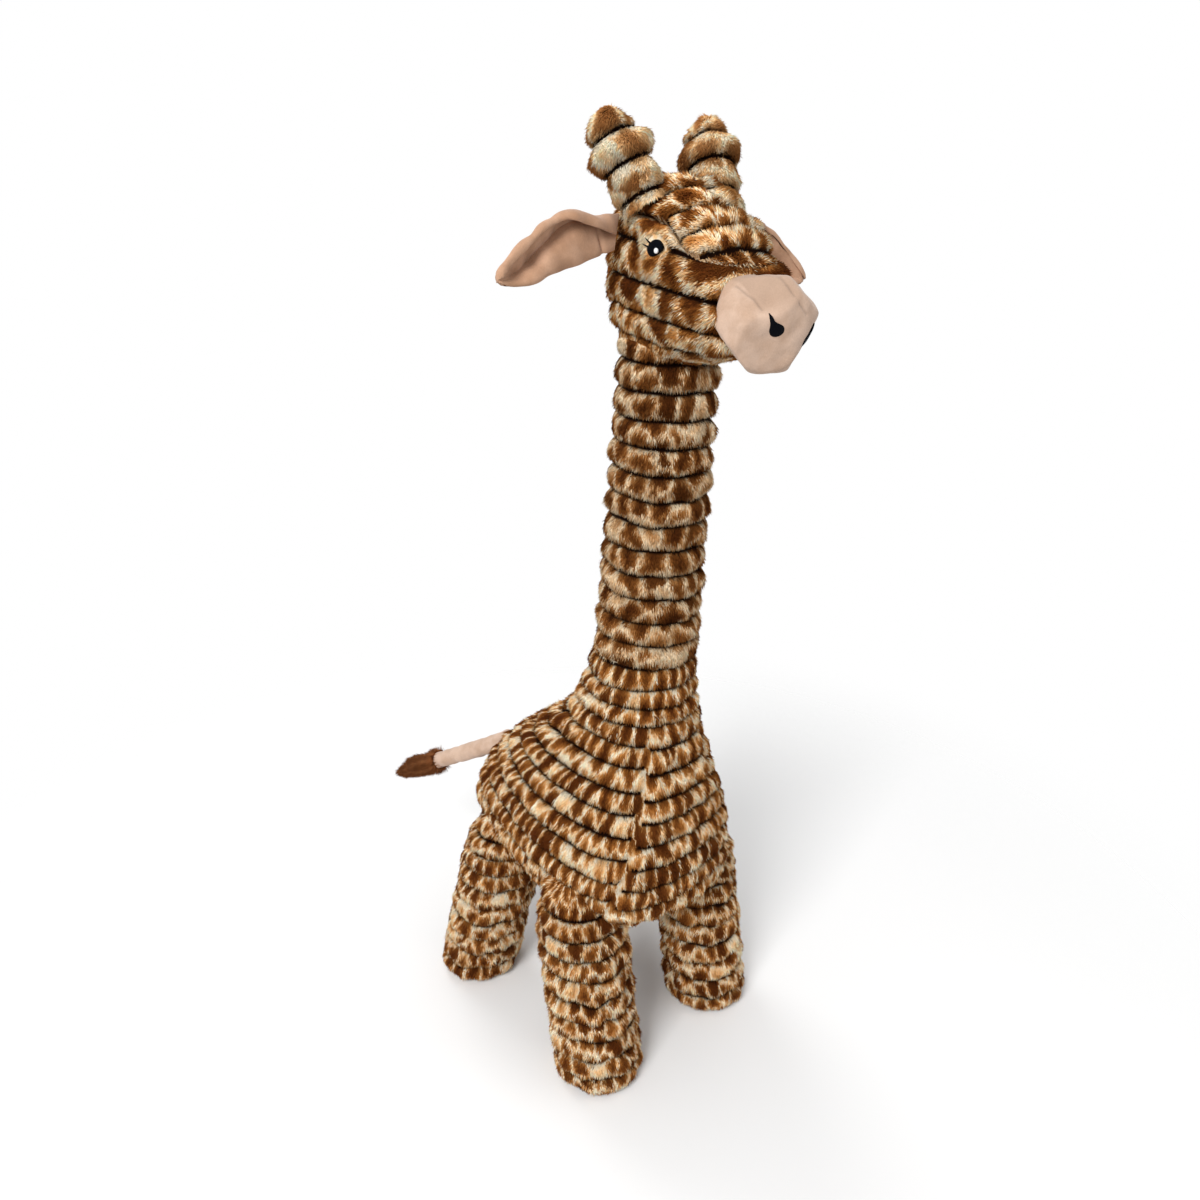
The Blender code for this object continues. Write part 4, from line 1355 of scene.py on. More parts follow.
@dataclass
class Head(Part):
    """The boxy skull: a forehead panel with ribs across it between two cheeks with sloping ribs.

    A section is a place from the back forward, then the shares of the top's and the bottom's drop and
    of the half width, and the superellipse's power. The forehead's grooves are places along -Y, the
    cheeks' are heights, and the border is the seam between them as pairs of Y and Z.
    """

    back: float = 0.024
    length: float = 0.122
    crown: float = 0.767
    height: float = 0.122
    half_width: float = 0.0475
    depth: float = 0.0074
    lift: float = 0.001
    step: float = 0.0015
    columns: int = 168
    hairs: int = 49000
    sections: tuple = (
        (0.0, 0.34, 0.72, 0.4, 2.0), (0.07, 0.14, 0.95, 0.67, 2.3), (0.21, 0.04, 1.04, 0.89, 2.6),
        (0.4, 0.0, 1.03, 0.99, 2.8), (0.58, 0.08, 1.02, 1.02, 3.0), (0.74, 0.23, 1.01, 1.02, 3.0),
        (0.88, 0.37, 0.99, 0.98, 2.8), (0.97, 0.5, 0.96, 0.88, 2.5), (1.0, 0.57, 0.91, 0.72, 2.2),
    )
    forehead: tuple = (-0.203, -0.19, -0.178, -0.165, -0.149, -0.13, -0.113, -0.097, -0.081)
    cheek: tuple = (0.788, 0.767, 0.7455, 0.7238, 0.6989, 0.6781, 0.66, 0.641, 0.621, 0.6)
    slope: float = 0.18
    slope_middle: float = -0.126
    border: tuple = ((-0.203, 0.705), (-0.19, 0.711), (-0.175, 0.718), (-0.16, 0.733),
                     (-0.131, 0.74), (-0.109, 0.745), (-0.079, 0.745))
    seam_draw: float = 0.9
    seam_width: float = 0.0036
    seam_fade: tuple = (-0.192, -0.166)
    lead_pitch: float = 0.0175
    end_pitch: float = 0.014
    side_start: float = -0.1
    side_top: float = 0.745
    side_seam: float = 0.03
    middle: tuple = (0.0, -0.145, 0.702)
    eye: tuple = (0.0465, -0.1505, 0.7205)
    socket: tuple = (0.0135, 0.008)

    def ring(self, place: float, top: float, bottom: float, width: float, power: float) -> Array:
        """A section's control ring, in an upright plane."""
        middle = [0.0, self.back - self.length * place, self.crown - self.height * (top + bottom) / 2.0]
        upright = ring(self.half_width * width, self.height * (bottom - top) / 2.0, power)[:, [0, 2, 1]]
        return upright + np.array(middle) + STANCE

    def brow(self, shell: Shell, p: Array) -> Array:
        """The forehead's rib numbers, by the nearest place on the mid-line's arc.

        Args:
            shell: The skull.
            p: Points.

        Returns:
            The numbers.
        """
        u = np.concatenate([np.linspace(4.0, 1.0, 60), np.linspace(1.0, shell.last, 240)[1:]])
        line = sheet_of(shell.net, u, np.where(np.arange(len(u)) < 60, 15.0, 5.0))
        run = run_along(line)
        upper = slice(70, None)
        marks = np.interp(-np.array(self.forehead)[::-1], -line[upper, 1], run[upper])
        before, after = self.lead_pitch * np.arange(9, 0, -1), self.end_pitch * np.arange(1, 4)
        marks = np.concatenate([marks[0] - before, marks, marks[-1] + after])
        x, y, z = p.reshape(-1, 3).T[..., None]
        gap = (y + 0.001 * (x / 0.035) ** 2 - line[:, 1]) ** 2 + (z - line[:, 2]) ** 2
        arc = run[gap.argmin(axis=1)].reshape(p.shape[:2])
        return np.interp(arc, marks, np.arange(len(marks), dtype=float))

    def grooves(self, shell: Shell, p: Array) -> tuple[Array, Array, Array]:
        """Rib numbers, metres along them, and the seam between forehead and cheeks.

        The forehead's ribs step along the mid-line's arc, and the cheeks' along z - 0.18 y.

        Args:
            shell: The skull.
            p: Points.

        Returns:
            Rib number, metres along the rib, and the seam's rise.
        """
        x, y, z = p[..., 0], p[..., 1], p[..., 2]
        tilt = z - self.slope * (y - self.slope_middle)
        cheek = np.interp(tilt, self.cheek[::-1], np.arange(len(self.cheek), dtype=float)[::-1])
        edge = np.interp(y, *np.array(self.border).T)
        rear = (y > self.side_start) & (z < self.side_top)
        off = np.where(rear, self.side_seam - np.abs(x), z - edge)
        drawn = self.seam_draw * smooth(*self.seam_fade, y)
        seam = 1.0 - drawn * smooth(self.seam_width, 0.0, np.abs(off))
        top = off > 0
        return np.where(top, self.brow(shell, p), cheek + 30.0), np.where(top, x, y * np.sign(x)), seam

    def build(self) -> None:
        """Work out the surface, stitch it, and leave it plain round the eyes."""
        shell = Shell([self.ring(*section) for section in self.sections], 6.0, 15.0, self.columns)
        p = shell.at(spread(1.0, shell.last, np.linspace(0.0, 1.0, 400)))
        self.pins.bodies["head"] = Envelope(p, self.middle)
        p = shell.at(spread(1.0, shell.last, even_steps(p, self.step)[1:-1]))
        rib, along, seam = self.grooves(shell, p)
        spot = np.concatenate([np.abs(p[..., :1]), p[..., 1:]], -1) - np.array(self.eye)
        away = np.linalg.norm(spot * np.array([1.0, 0.85, 1.0]), axis=-1)
        cloth = Cloth(p, along, rib, 3.0, seam, smooth(*self.socket, away))
        self.cloth = cloth.stitch(self.depth, self.lift)
        self.pins.cover("head", self.cloth, self.pins.blotches, 0.85)

    def dress(self) -> None:
        """Lay the hair, brushed back from the muzzle and down the cheeks, clear of what is sewn on."""
        down = np.zeros_like(self.cloth.points)
        down[..., 1] = 0.9 * smooth(-0.13, -0.19, self.cloth.points[..., 1]) + 0.25
        down[..., 2] = -0.8
        clear = [*((key, 0.001) for key in ("neck", "muzzle", "horn_right", "horn_left")),
                 ("eye_right", 0.0), ("eye_left", 0.0)]
        self.pins.grow("head_pile", self.cloth, self.pins.blotches, Pile(self.hairs, 31, clear, down))


# Muzzle and nostrils


@dataclass
class Muzzle(Part):
    """The blunt velour muzzle, sewn into the front of the head from a top panel, two cheeks and a chin.

    A section is a place from the seam forward, shares of the half width and half height, and the
    superellipse's power. A panel is a plane's normal and its distance from the origin.
    """

    seam: tuple = (0.0, -0.19298, 0.674)
    length: float = 0.046
    half_width: float = 0.0385
    half_height: float = 0.0325
    droop: float = math.radians(5.0)
    sections: tuple = (
        (-0.3, 0.9, 0.92, 2.1), (-0.05, 1.0, 1.0, 2.3), (0.35, 1.04, 1.02, 2.5), (0.7, 0.98, 0.98, 2.5),
        (0.92, 0.78, 0.8, 2.4), (1.0, 0.48, 0.5, 2.1),
    )
    panels: tuple = (
        (0.4988, -0.7479, -0.438, -0.109), (0.4676, -0.5689, 0.6766, 0.6043),
        (0.5522, 0.5357, -0.6388, -0.51425), (0.5873, -0.8048, 0.0862, 0.2619),
        (0.0, 0.0, 1.0, 0.7015), (0.0, -0.0998, -0.995, -0.6145),
    )
    rounding: float = 0.001
    cheek_seam: tuple = ((-0.0303, -0.2098, 0.6955), (-0.0295, -0.2122, 0.6943), (-0.0281, -0.217, 0.691),
                         (-0.0268, -0.2218, 0.6882), (-0.0265, -0.2253, 0.685), (-0.0264, -0.2282, 0.6822))
    bridge_seam: tuple = ((-0.0046, -0.219, 0.7015), (-0.005, -0.2248, 0.6995), (-0.0052, -0.231, 0.695),
                          (-0.0053, -0.2359, 0.6901), (-0.0032, -0.2392, 0.6851), (0.0006, -0.24, 0.6811),
                          (0.0031, -0.2401, 0.6789))
    seam_width: float = 0.001
    seam_depth: float = 0.0006
    unevenness: float = 0.00025
    rows: int = 150
    columns: int = 300

    def flatten(self, p: Array) -> Array:
        """Push back what lies a height s over a panel's plane by r ln(1 + e^(s/r)), r the rounding.

        Args:
            p: Points.

        Returns:
            The points on their panels.
        """
        for across, *rest, reach in self.panels:
            for hand in (-1.0, 1.0) if across else (1.0,):
                plane = np.array([across * hand, *rest])
                over = (p @ plane - reach) / self.rounding
                p = p - plane * (self.rounding * np.logaddexp(0.0, over))[..., None]
        return p

    def seams(self, p: Array) -> Array:
        """How far points lie from the nearest seam, the cheeks' mirrored and the bridge's as it is.

        Args:
            p: Points.

        Returns:
            The distances.
        """
        cheek = np.array(self.cheek_seam)
        away = np.full(p.shape[:-1], 1.0)
        for line in (cheek, cheek * np.array([-1.0, 1.0, 1.0]), np.array(self.bridge_seam)):
            for a, b in zip(line[:-1], line[1:]):
                t = np.clip((p - a) @ (b - a) / ((b - a) @ (b - a)), 0.0, 1.0)
                away = np.minimum(away, np.linalg.norm(p - a - t[..., None] * (b - a), axis=-1))
        return away

    def build(self) -> None:
        """Work out the surface from the head forward and draw its seams in, by e^-(d/w)^2 at a distance d."""
        ahead = np.array([0.0, -math.cos(self.droop), -math.sin(self.droop)])
        turn, seam = look_at(ahead), np.array(self.seam)
        rings = [ring(self.half_width * width, self.half_height * height, power) @ turn.T
                 + self.length * place * ahead + seam for place, width, height, power in self.sections]
        shell = Shell(rings, 4.0, 15.0, self.columns)
        span = np.linspace(1.0, shell.last, 300)
        p = self.flatten(shell.at(span[:, None]))
        self.pins.bodies["muzzle"] = Envelope(p, seam + ahead * 0.018)
        start = crossing(-(self.pins.bodies["head"].depth(p) + 0.0002), span)
        share = np.linspace(0.0, 1.0, self.rows)[:-1] ** 0.9
        p = self.flatten(shell.at(spread(start, shell.last, share)))[:, :-1]
        drawn = np.exp(-((self.seams(p) / self.seam_width) ** 2))
        x, z = p[..., 0], p[..., 2]
        # The bridge panel, which the velour paints in shade.
        bridge = smooth(-0.0285, -0.026, x) * smooth(0.003, -0.003, x) * smooth(0.676, 0.69, z)
        push = self.unevenness * ripple(p, 0.016, 5) - self.seam_depth * drawn
        lay = {"lay": np.stack([drawn, bridge, np.zeros_like(drawn)], -1)}
        made = grid_piece("muzzle_velour", p + grid_normals(p) * push[..., None], self.pins.velour, lay)
        self.pins.settle(made, Slot.VELOUR, ["muzzle"], 0.9)


@dataclass
class Patch:
    """A domed stitched patch: its height is dome times (1 - r^3) over its outline, and its back is flat."""

    outline: Array
    dome: float
    sink: float
    rows: int = 9
    core: float = 0.12
    proud: float = 0.0002

    def sew(self, name: str, middle: Array, turn: Array, finish: Material,
            body: Envelope | None = None) -> Object:
        """Lay it on its plane, or on a body whose surface it follows.

        Args:
            name: The piece's name.
            middle: Its middle.
            turn: The turn of its plane; the third column points out.
            finish: Its material.
            body: The body, or nothing where it stays flat.

        Returns:
            The piece.
        """
        share = np.linspace(self.core, 1.0, self.rows)[:, None, None]
        centre = self.outline.mean(axis=0)
        flat = centre + (self.outline - centre) * share
        rise = np.broadcast_to(self.dome * (1.0 - share**3) + self.proud, (*flat.shape[:2], 1))
        front = np.concatenate([flat, rise], -1)
        back = front[::-1].copy()
        back[..., 2] = -self.sink
        local = np.concatenate([front, back])
        p = local @ turn.T + middle
        for _ in range(4 if body else 0):
            p = p + turn[:, 2] * (body.depth(p) + local[..., 2])[..., None]
        return grid_piece(name, p, finish)


@dataclass
class Nostril(Part):
    """A satin-stitched teardrop on the muzzle, its point up and leaning to the outside."""

    side: Side
    middle: tuple
    dome: float = 0.0012
    sink: float = 0.0012
    outline: tuple = (
        (-0.0064, 0.0095), (-0.0054, 0.007), (-0.0036, 0.0044), (-0.0008, 0.0028), (0.0025, 0.0018),
        (0.0043, -0.0004), (0.0042, -0.003), (0.0023, -0.0047), (-0.0004, -0.0052), (-0.0028, -0.0041),
        (-0.0047, -0.0015), (-0.0058, 0.002), (-0.0066, 0.006),
    )

    def build(self) -> None:
        """Round the outline with a closed B-spline and lay it on the muzzle."""
        patch = Patch(rim_of(self.outline, self.side.value), self.dome, self.sink)
        turn = look_at(self.side.place((0.3, -1.0, -0.02)))
        word, middle = self.side.word, self.side.place(self.middle)
        made = patch.sew(f"nostril_stitch_{word}", middle, turn, self.pins.navy, self.pins.bodies["muzzle"])
        self.pins.settle(made, Slot.NAVY, [f"nostril_{word}"])


@dataclass
class Eye(Part):
    """A satin-stitched oval with a white glint and two lashes that sweep up and back.

    A lash is its root and its end, each as how far ahead and how high it lies.
    """

    side: Side
    middle: tuple = (0.0486, -0.1543, 0.7178)
    outline: tuple = (
        (0.0073, 0.0003), (0.005, 0.0033), (0.0022, 0.0048), (-0.0005, 0.0045), (-0.0033, 0.0028),
        (-0.0051, 0.0009), (-0.0055, -0.001), (-0.0048, -0.0034), (-0.0022, -0.005), (0.0005, -0.0046),
        (0.0033, -0.0033), (0.0062, -0.0014),
    )
    dome: float = 0.0018
    sink: float = 0.0016
    glint: tuple = (0.0, -0.0036, -0.0018)
    glint_radius: float = 0.0017
    glint_dome: float = 0.0006
    lashes: tuple = ((-0.0034, 0.003, -0.0066, 0.0058), (-0.005, 0.0006, -0.0092, 0.0022))
    lash_radius: float = 0.00065
    lash_lift: float = 0.0008
    keep_out: tuple = (0.0058, 0.0084, 0.0066)

    def __post_init__(self) -> None:
        """Set its place and the way it looks."""
        self.place = self.side.place(self.middle)
        self.out = unit(self.side.place((1.0, -0.06, 0.03)))

    def build(self) -> None:
        """Lay the oval, its glint and its lashes just proud of the fur."""
        word, turn = self.side.word, look_at(self.out)
        oval = Patch(rim_of(self.outline, self.side.value), self.dome, self.sink)
        made = oval.sew(f"eye_stitch_{word}", self.place, turn, self.pins.navy)
        self.pins.settle(made, Slot.NAVY, [f"eye_{word}"])
        ball, wrap = np.linspace(0.0, math.pi, 40)[:, None], np.linspace(0.0, ROUND, 60)[None]
        ways = [np.sin(ball) * np.cos(wrap), np.sin(ball) * np.sin(wrap), np.cos(ball) * np.ones_like(wrap)]
        room = np.stack(ways, -1) * np.array(self.keep_out) + self.place
        self.pins.bodies[f"eye_{word}"] = Envelope(room, self.place)
        spot = self.place + self.out * self.dome + np.array(self.glint)
        glint = Patch(circle(48) * self.glint_radius, self.glint_dome, self.glint_dome, rows=5)
        made = glint.sew(f"eye_glint_stitch_{word}", spot, turn, self.pins.white)
        self.pins.settle(made, Slot.WHITE, [f"eye_glint_{word}"])
        self.lash()

    def lash(self) -> None:
        """Two tapering threads, as one piece."""
        rows, columns = 16, 8
        t = np.linspace(0.0, 1.0, rows)[:, None]
        wheel = circle(columns)[None, :, :, None]
        points, faces, first = [], Faces(), 0
        for fore, high, fore_end, high_end in self.lashes:
            way = np.array([0.0, fore - fore_end, high_end - high])
            path = self.place + np.array([0.0, -fore, high]) + way * t + self.out * self.lash_lift * (1.0 + t)
            thick = (self.lash_radius * (1.0 - 0.6 * t))[:, None]
            side = unit(np.cross(self.out, way))
            p = path[:, None] + thick * (wheel[:, :, 0] * self.out + wheel[:, :, 1] * side)
            points.append(closed_grid(p))
            faces.join(grid_faces(rows, columns, first))
            first += len(points[-1])
        made = make_mesh(f"eye_lashes_{self.side.word}", np.concatenate(points), faces, self.pins.navy)
        self.pins.settle(made, Slot.NAVY)


# Horns


@dataclass
class Horn(Part):
    """Stuffed puffs drawn in by threads, leaning back and out from the crown."""

    side: Side
    grooves: tuple = (0.0075, 0.0285, 0.0495)
    left_shift: float = 0.003
    end: float = 0.066
    cap: float = 0.0145
    radii: tuple = (0.0154, 0.0188, 0.013)
    root: tuple = (0.035, -0.028, 0.742)
    back: float = math.radians(26.0)
    out: float = math.radians(13.5)
    rib_length: float = 0.02
    depth: float = 0.0064
    lift: float = 0.0014
    rows: int = 64
    columns: int = 66
    hairs: int = 13000

    def __post_init__(self) -> None:
        """Set the turn, the root, the turn of each column, the drawn-in heights and the puffs' middles."""
        tilt, roll = -self.back, self.side.value * self.out
        back = [turned(axis, np.zeros(3), ACROSS, tilt) for axis in np.eye(3)]
        self.turn = turned(np.array(back), np.zeros(3), np.array([0.0, 1.0, 0.0]), roll).T
        self.base = STANCE + self.side.place(self.root)
        self.angle = np.linspace(0.0, ROUND, self.columns + 1)
        self.drawn = np.array(self.grooves) + (self.left_shift if self.side is Side.LEFT else 0.0)
        self.crowns = (self.drawn + np.append(self.drawn[1:], self.end)) / 2.0

    def at(self, h: Array) -> Array:
        """Points at heights up the axis, through each puff's own radius; the last puff closes round.

        Args:
            h: Heights, with one column or one for each turn.

        Returns:
            The points.
        """
        drop = np.clip((h - self.end) / self.cap + 1.0, 0.0, 1.0)
        r = np.interp(h, self.crowns, self.radii) * np.sqrt(np.maximum(1.0 - drop**2.2, 0.0))
        across, along = r * np.cos(self.angle), r * np.sin(self.angle)
        return np.stack([across, along, np.broadcast_to(h, across.shape)], -1) @ self.turn.T + self.base

    def build(self) -> None:
        """Work out the puffs from the head's surface up and stitch them."""
        node = f"horn_{self.side.word}"
        span = np.linspace(0.0, self.end, 260)
        p = self.at(span[:, None])
        self.pins.bodies[node] = Envelope(p, self.base + self.turn @ np.array([0, 0, self.end * 0.5]))
        low = crossing(-(self.pins.bodies["head"].depth(p) + 0.0004), span)
        share = np.linspace(0.0, 1.0, self.rows)[:-1]
        h = spread(low, self.end, (np.sin(share * math.pi / 2.0) + share) * 0.5)
        heights = (self.drawn[0] - 0.021, *self.drawn, self.crowns[-1], self.end)
        rib = np.interp(h, heights, (-1.0, 0.0, 1.0, 2.0, 2.5, 2.8)) + 50.0
        cloth = Cloth(self.at(h), self.angle * self.rib_length, rib, 4.0 + self.side.value)
        self.cloth = cloth.stitch(self.depth, self.lift)
        self.pins.cover(node, self.cloth, self.pins.puffs, 0.9)

    def dress(self) -> None:
        """Lay the hair, clear of the head."""
        pile = Pile(self.hairs, 41, [("head", 0.001)])
        self.pins.grow(f"horn_{self.side.word}_pile", self.cloth, self.pins.puffs, pile)


# Legs


@dataclass
class Leg(Part):
    """A ribbed leg with a rounded foot, flat at the sole, that leans in under the torso.

    Foot is the middle of its sole on the left side, shift is how far its top leans from there, and
    the steps are heights of grooves and their numbers.
    """

    name: str
    side: Side
    foot: tuple
    shift: tuple
    height: float = 0.2
    radius: float = 0.0398
    rounding: float = 0.016
    shoulder: float = 0.064
    draw: float = 0.026
    start: float = 0.0008
    step: float = 0.0016
    depth: float = 0.0076
    lift: float = 0.0006
    shaved: tuple = (0.184, 0.189)
    columns: int = 116
    hairs: int = 33000
    steps: tuple = ((0.0, 0.0), (0.08, 4.0), (0.1005, 5.0), (0.1215, 6.0), (0.142, 7.0), (0.16, 8.0),
                    (0.178, 9.0), (0.197, 10.0), (0.2165, 11.0))

    def __post_init__(self) -> None:
        """Set the turn of each column, the sole's radius and the node's name."""
        turns = 2.0 if self.side is Side.RIGHT else 1.0
        self.angle = np.linspace(0.0, ROUND, self.columns + 1) + turns * math.pi
        self.sole = self.radius - self.rounding
        self.node = f"{self.name}_{self.side.word}"

    def axis(self, share: Array | float) -> tuple[Any, Any]:
        """Where the axis lies at a share of the height."""
        hand = self.side.value
        return (self.foot[0] + self.shift[0] * share) * hand, self.foot[1] + self.shift[1] * share

    def at(self, run: Array) -> Array:
        """Points at places along the profile: over the sole first, round its edge, up and in at the shoulder.

        Args:
            run: Places, with one column or one for each turn.

        Returns:
            The points.
        """
        h = np.maximum(run - self.sole, 0.0)
        drop = np.maximum(0.0, 1.0 - h / self.rounding)
        climb = np.maximum(0.0, 1.0 - (self.height - h) / self.shoulder)
        r = self.radius - self.rounding * (1.0 - np.sqrt(np.maximum(1.0 - drop**2, 0.0)))
        r = r - self.draw * (1.0 - np.sqrt(np.maximum(1.0 - climb**2, 0.0)))
        r = np.where(run < self.sole, run, r)
        x, y = self.axis(h / self.height)
        across = x + r * np.cos(self.angle)
        return np.stack([across, y + r * np.sin(self.angle), np.broadcast_to(h, across.shape)], -1)

    def build(self) -> None:
        """Work out the leg up to the torso's surface and stitch it, a little unevenly in its middle."""
        span = np.linspace(self.start, self.sole + self.height - 0.0005, 420)
        p = self.at(span[:, None])
        self.pins.bodies[self.node] = Envelope(p, (*self.axis(0.5), self.height / 2.0))
        top = crossing(self.pins.bodies["torso"].depth(p) - 0.007, span)
        run = spread(self.start, top, even_steps(p, self.step))
        p, h = self.at(run), run - self.sole
        uneven = 0.075 * ripple(p, 0.036, 17) * smooth(0.006, 0.02, h) * smooth(0.15, 0.1, h)
        rib = np.where(run < self.sole, 0.35, np.interp(h, *np.array(self.steps).T) + uneven)
        along = (self.angle - self.angle[0] - math.pi) * self.radius
        seed = 6.0 + self.side.value + self.foot[1] * 9.0
        cloth = Cloth(p, along, rib, seed, plain=GROOVELESS * smooth(*self.shaved, h))
        self.cloth = cloth.stitch(self.depth, self.lift)
        self.pins.cover(self.node, self.cloth, self.pins.spots, 0.8)

    def dress(self) -> None:
        """Lay the hair, clear of the torso and of the floor."""
        pile = Pile(self.hairs, 51 + int(self.side.value), [("torso", 0.004)])
        self.pins.grow(f"{self.node}_pile", self.cloth, self.pins.spots, pile)


# Ears


@dataclass
class Ear(Part):
    """A leaf of two layers of velour with a valley along it, its upper edge folded forward over its root.

    A table's rows are a place along the ear, 0 to 1, and how high its line lies over the root. The
    hinge is as on the right side, and the swings are the degrees at which the leaf clears the head.
    """

    side: Side
    root: tuple
    droop: float
    length: float = 0.113
    thick: float = 0.004
    sweep: float = math.radians(6.0)
    hinge: tuple = (0.0962, -0.0301, 0.9949)
    swings: tuple = (0.0, 9.0, 17.0, 25.0)
    room: float = 0.002
    inset: float = 0.0024
    deep: float = 0.008
    dart: float = 0.003
    columns: int = 110
    upper: tuple = ((0.0, 0.014), (0.143, 0.016), (0.224, 0.0188), (0.292, 0.0216), (0.348, 0.0236),
                    (0.405, 0.0248), (0.45, 0.0248), (0.53, 0.023), (0.582, 0.0225), (0.643, 0.0205),
                    (0.705, 0.0174), (0.774, 0.0155), (0.845, 0.0128), (0.905, 0.0096), (0.96, 0.0055),
                    (1.0, 0.001))
    lower: tuple = ((0.0, -0.0085), (0.14, -0.0095), (0.23, -0.0102), (0.357, -0.0108), (0.48, -0.0116),
                    (0.62, -0.0111), (0.7365, -0.0117), (0.827, -0.0123), (0.89, -0.0112), (0.949, -0.009),
                    (1.0, -0.0055))
    flap: tuple = ((0.0, -0.0015), (0.0566, 0.001), (0.139, 0.005), (0.2536, 0.0106), (0.3536, 0.0152),
                   (0.4166, 0.0192), (0.475, 0.0232), (0.55, 0.0222), (1.0, -0.0015))
    valley: tuple = ((0.0, 0.01), (0.343, 0.0146), (0.431, 0.0123), (0.4964, 0.0091), (0.5612, 0.0059),
                     (0.637, 0.0026), (0.714, -0.0015), (0.8, -0.006), (0.863, -0.0087), (1.0, -0.007))

    def line(self, a: Array) -> Array:
        """The leaf across: a B-spline from its lower edge over its valley to its fold, and down the flap.

        Args:
            a: Places along the ear, 0 to 1.

        Returns:
            Height over the root and depth ahead of it, for each place and each point across.
        """
        up, low = curve_at(a, self.upper, 0.012), curve_at(a, self.lower, 0.02)
        inset = np.minimum(self.inset, 0.25 * (up - low))
        up, low = up - inset, low + inset
        flap = np.minimum(curve_at(a, self.flap, 0.012), up - 0.0008)
        dip = np.clip(curve_at(a, self.valley, 0.02), low + 0.18 * (up - low), up - 0.15 * (up - low))
        shut, tip = smooth(0.5, 0.4, a), smooth(1.0, 0.8, a)
        deep = self.deep * smooth(0.1, 0.45, a) * tip
        dart = self.dart * np.exp(-(((a - 0.2) / 0.018) ** 2))
        fold, ridge = shut * smooth(-0.04, 0.22, a), smooth(0.12, 0.35, a) * tip
        marks = (
            (low, 0.0035 * tip),
            (low * 0.8 + dip * 0.2, 0.0045 * tip - dart),
            (low * 0.45 + dip * 0.55, 0.0022 * tip - dart + 0.0012 * ridge),
            (dip - 0.0012, 0.0024 * ridge - 0.1 * deep),
            (dip + 0.0016, -0.9 * deep),
            (dip * 0.8 + up * 0.2, -deep),
            (dip * 0.45 + up * 0.55, -0.35 * deep - 0.001 * shut),
            (up - 0.0012, np.zeros_like(a)),
            (up + 0.0004, np.full_like(a, 0.0012)),
            (up - 0.0006 * shut, 0.0022 + 0.0044 * fold),
            (up * 0.5 + flap * 0.5, 0.0024 + 0.0066 * fold),
            (flap, 0.0022 + 0.006 * fold),
        )
        net = np.stack([np.stack(pair, -1) for pair in marks], axis=1)
        index, shares = knots(np.linspace(-1.0, len(marks), self.columns), len(marks), False)
        return (net[:, index] * shares[None, :, :, None]).sum(axis=2)

    def leaf(self, out: Array) -> Array:
        """Both faces of the leaf, rounded off at its edges and its tip.

        Args:
            out: The way along the ear.

        Returns:
            Points, rows by columns by 3, the columns out on the front and back on the rear.
        """
        seam = unit(UP - out * out[2])
        front = np.cross(out, seam) * self.side.value
        a = np.concatenate([np.linspace(0.0, 0.9, 110), np.linspace(0.9, 1.0, 24)[1:]])
        line = self.line(a)
        middle = (self.length * a)[:, None, None] * out + line[..., :1] * seam + line[..., 1:] * front
        middle = middle + np.array(self.root)
        n = unit(np.cross(np.gradient(middle, axis=1), np.gradient(middle, axis=0)))
        n = n if (n[60, 5] @ front) > 0 else -n
        b = np.linspace(-1.0, 1.0, self.columns)
        end = np.clip((1.0 - a) / 0.02, 0.2, 1.0)[:, None] ** 0.5
        thick = self.thick / 2.0 * (0.22 + 0.78 * np.sqrt(np.clip(1.0 - np.abs(b) ** 8, 0.0, 1.0)) * end)
        wave = 0.0005 * ripple(middle, 0.02, 8) * np.clip(a * 6.0, 0.0, 1.0)[:, None]
        back = (middle - n * (thick - wave)[..., None])[:, ::-1]
        return np.concatenate([middle + n * (thick + wave)[..., None], back], axis=1)

    def build(self) -> None:
        """Work out the leaf and push it out of the head at each of its swings."""
        hand, word = self.side.value, self.side.word
        out = np.array([hand * math.cos(self.sweep), -math.sin(self.sweep), 0.0]) * math.cos(self.droop)
        out[2] = -math.sin(self.droop)
        p = self.leaf(out)
        axis = unit(np.array(self.hinge) * np.array([1.0, -hand, -hand]))
        for swing in self.swings:
            room = self.room * (1.0 + swing / 28.0)
            for _ in range(2):
                swung = turned(p, np.array(self.root), axis, math.radians(swing))
                p = p + out * np.maximum(self.pins.bodies["head"].depth(swung) + room, 0.0)[..., None]
        body = Body.EAR_RIGHT if self.side is Side.RIGHT else Body.EAR_LEFT
        made = grid_piece(f"ear_{word}_leaf", p, self.pins.ear)
        self.pins.settle(made, Slot.EAR, [f"ear_{word}"], 0.3, body)


# Tail


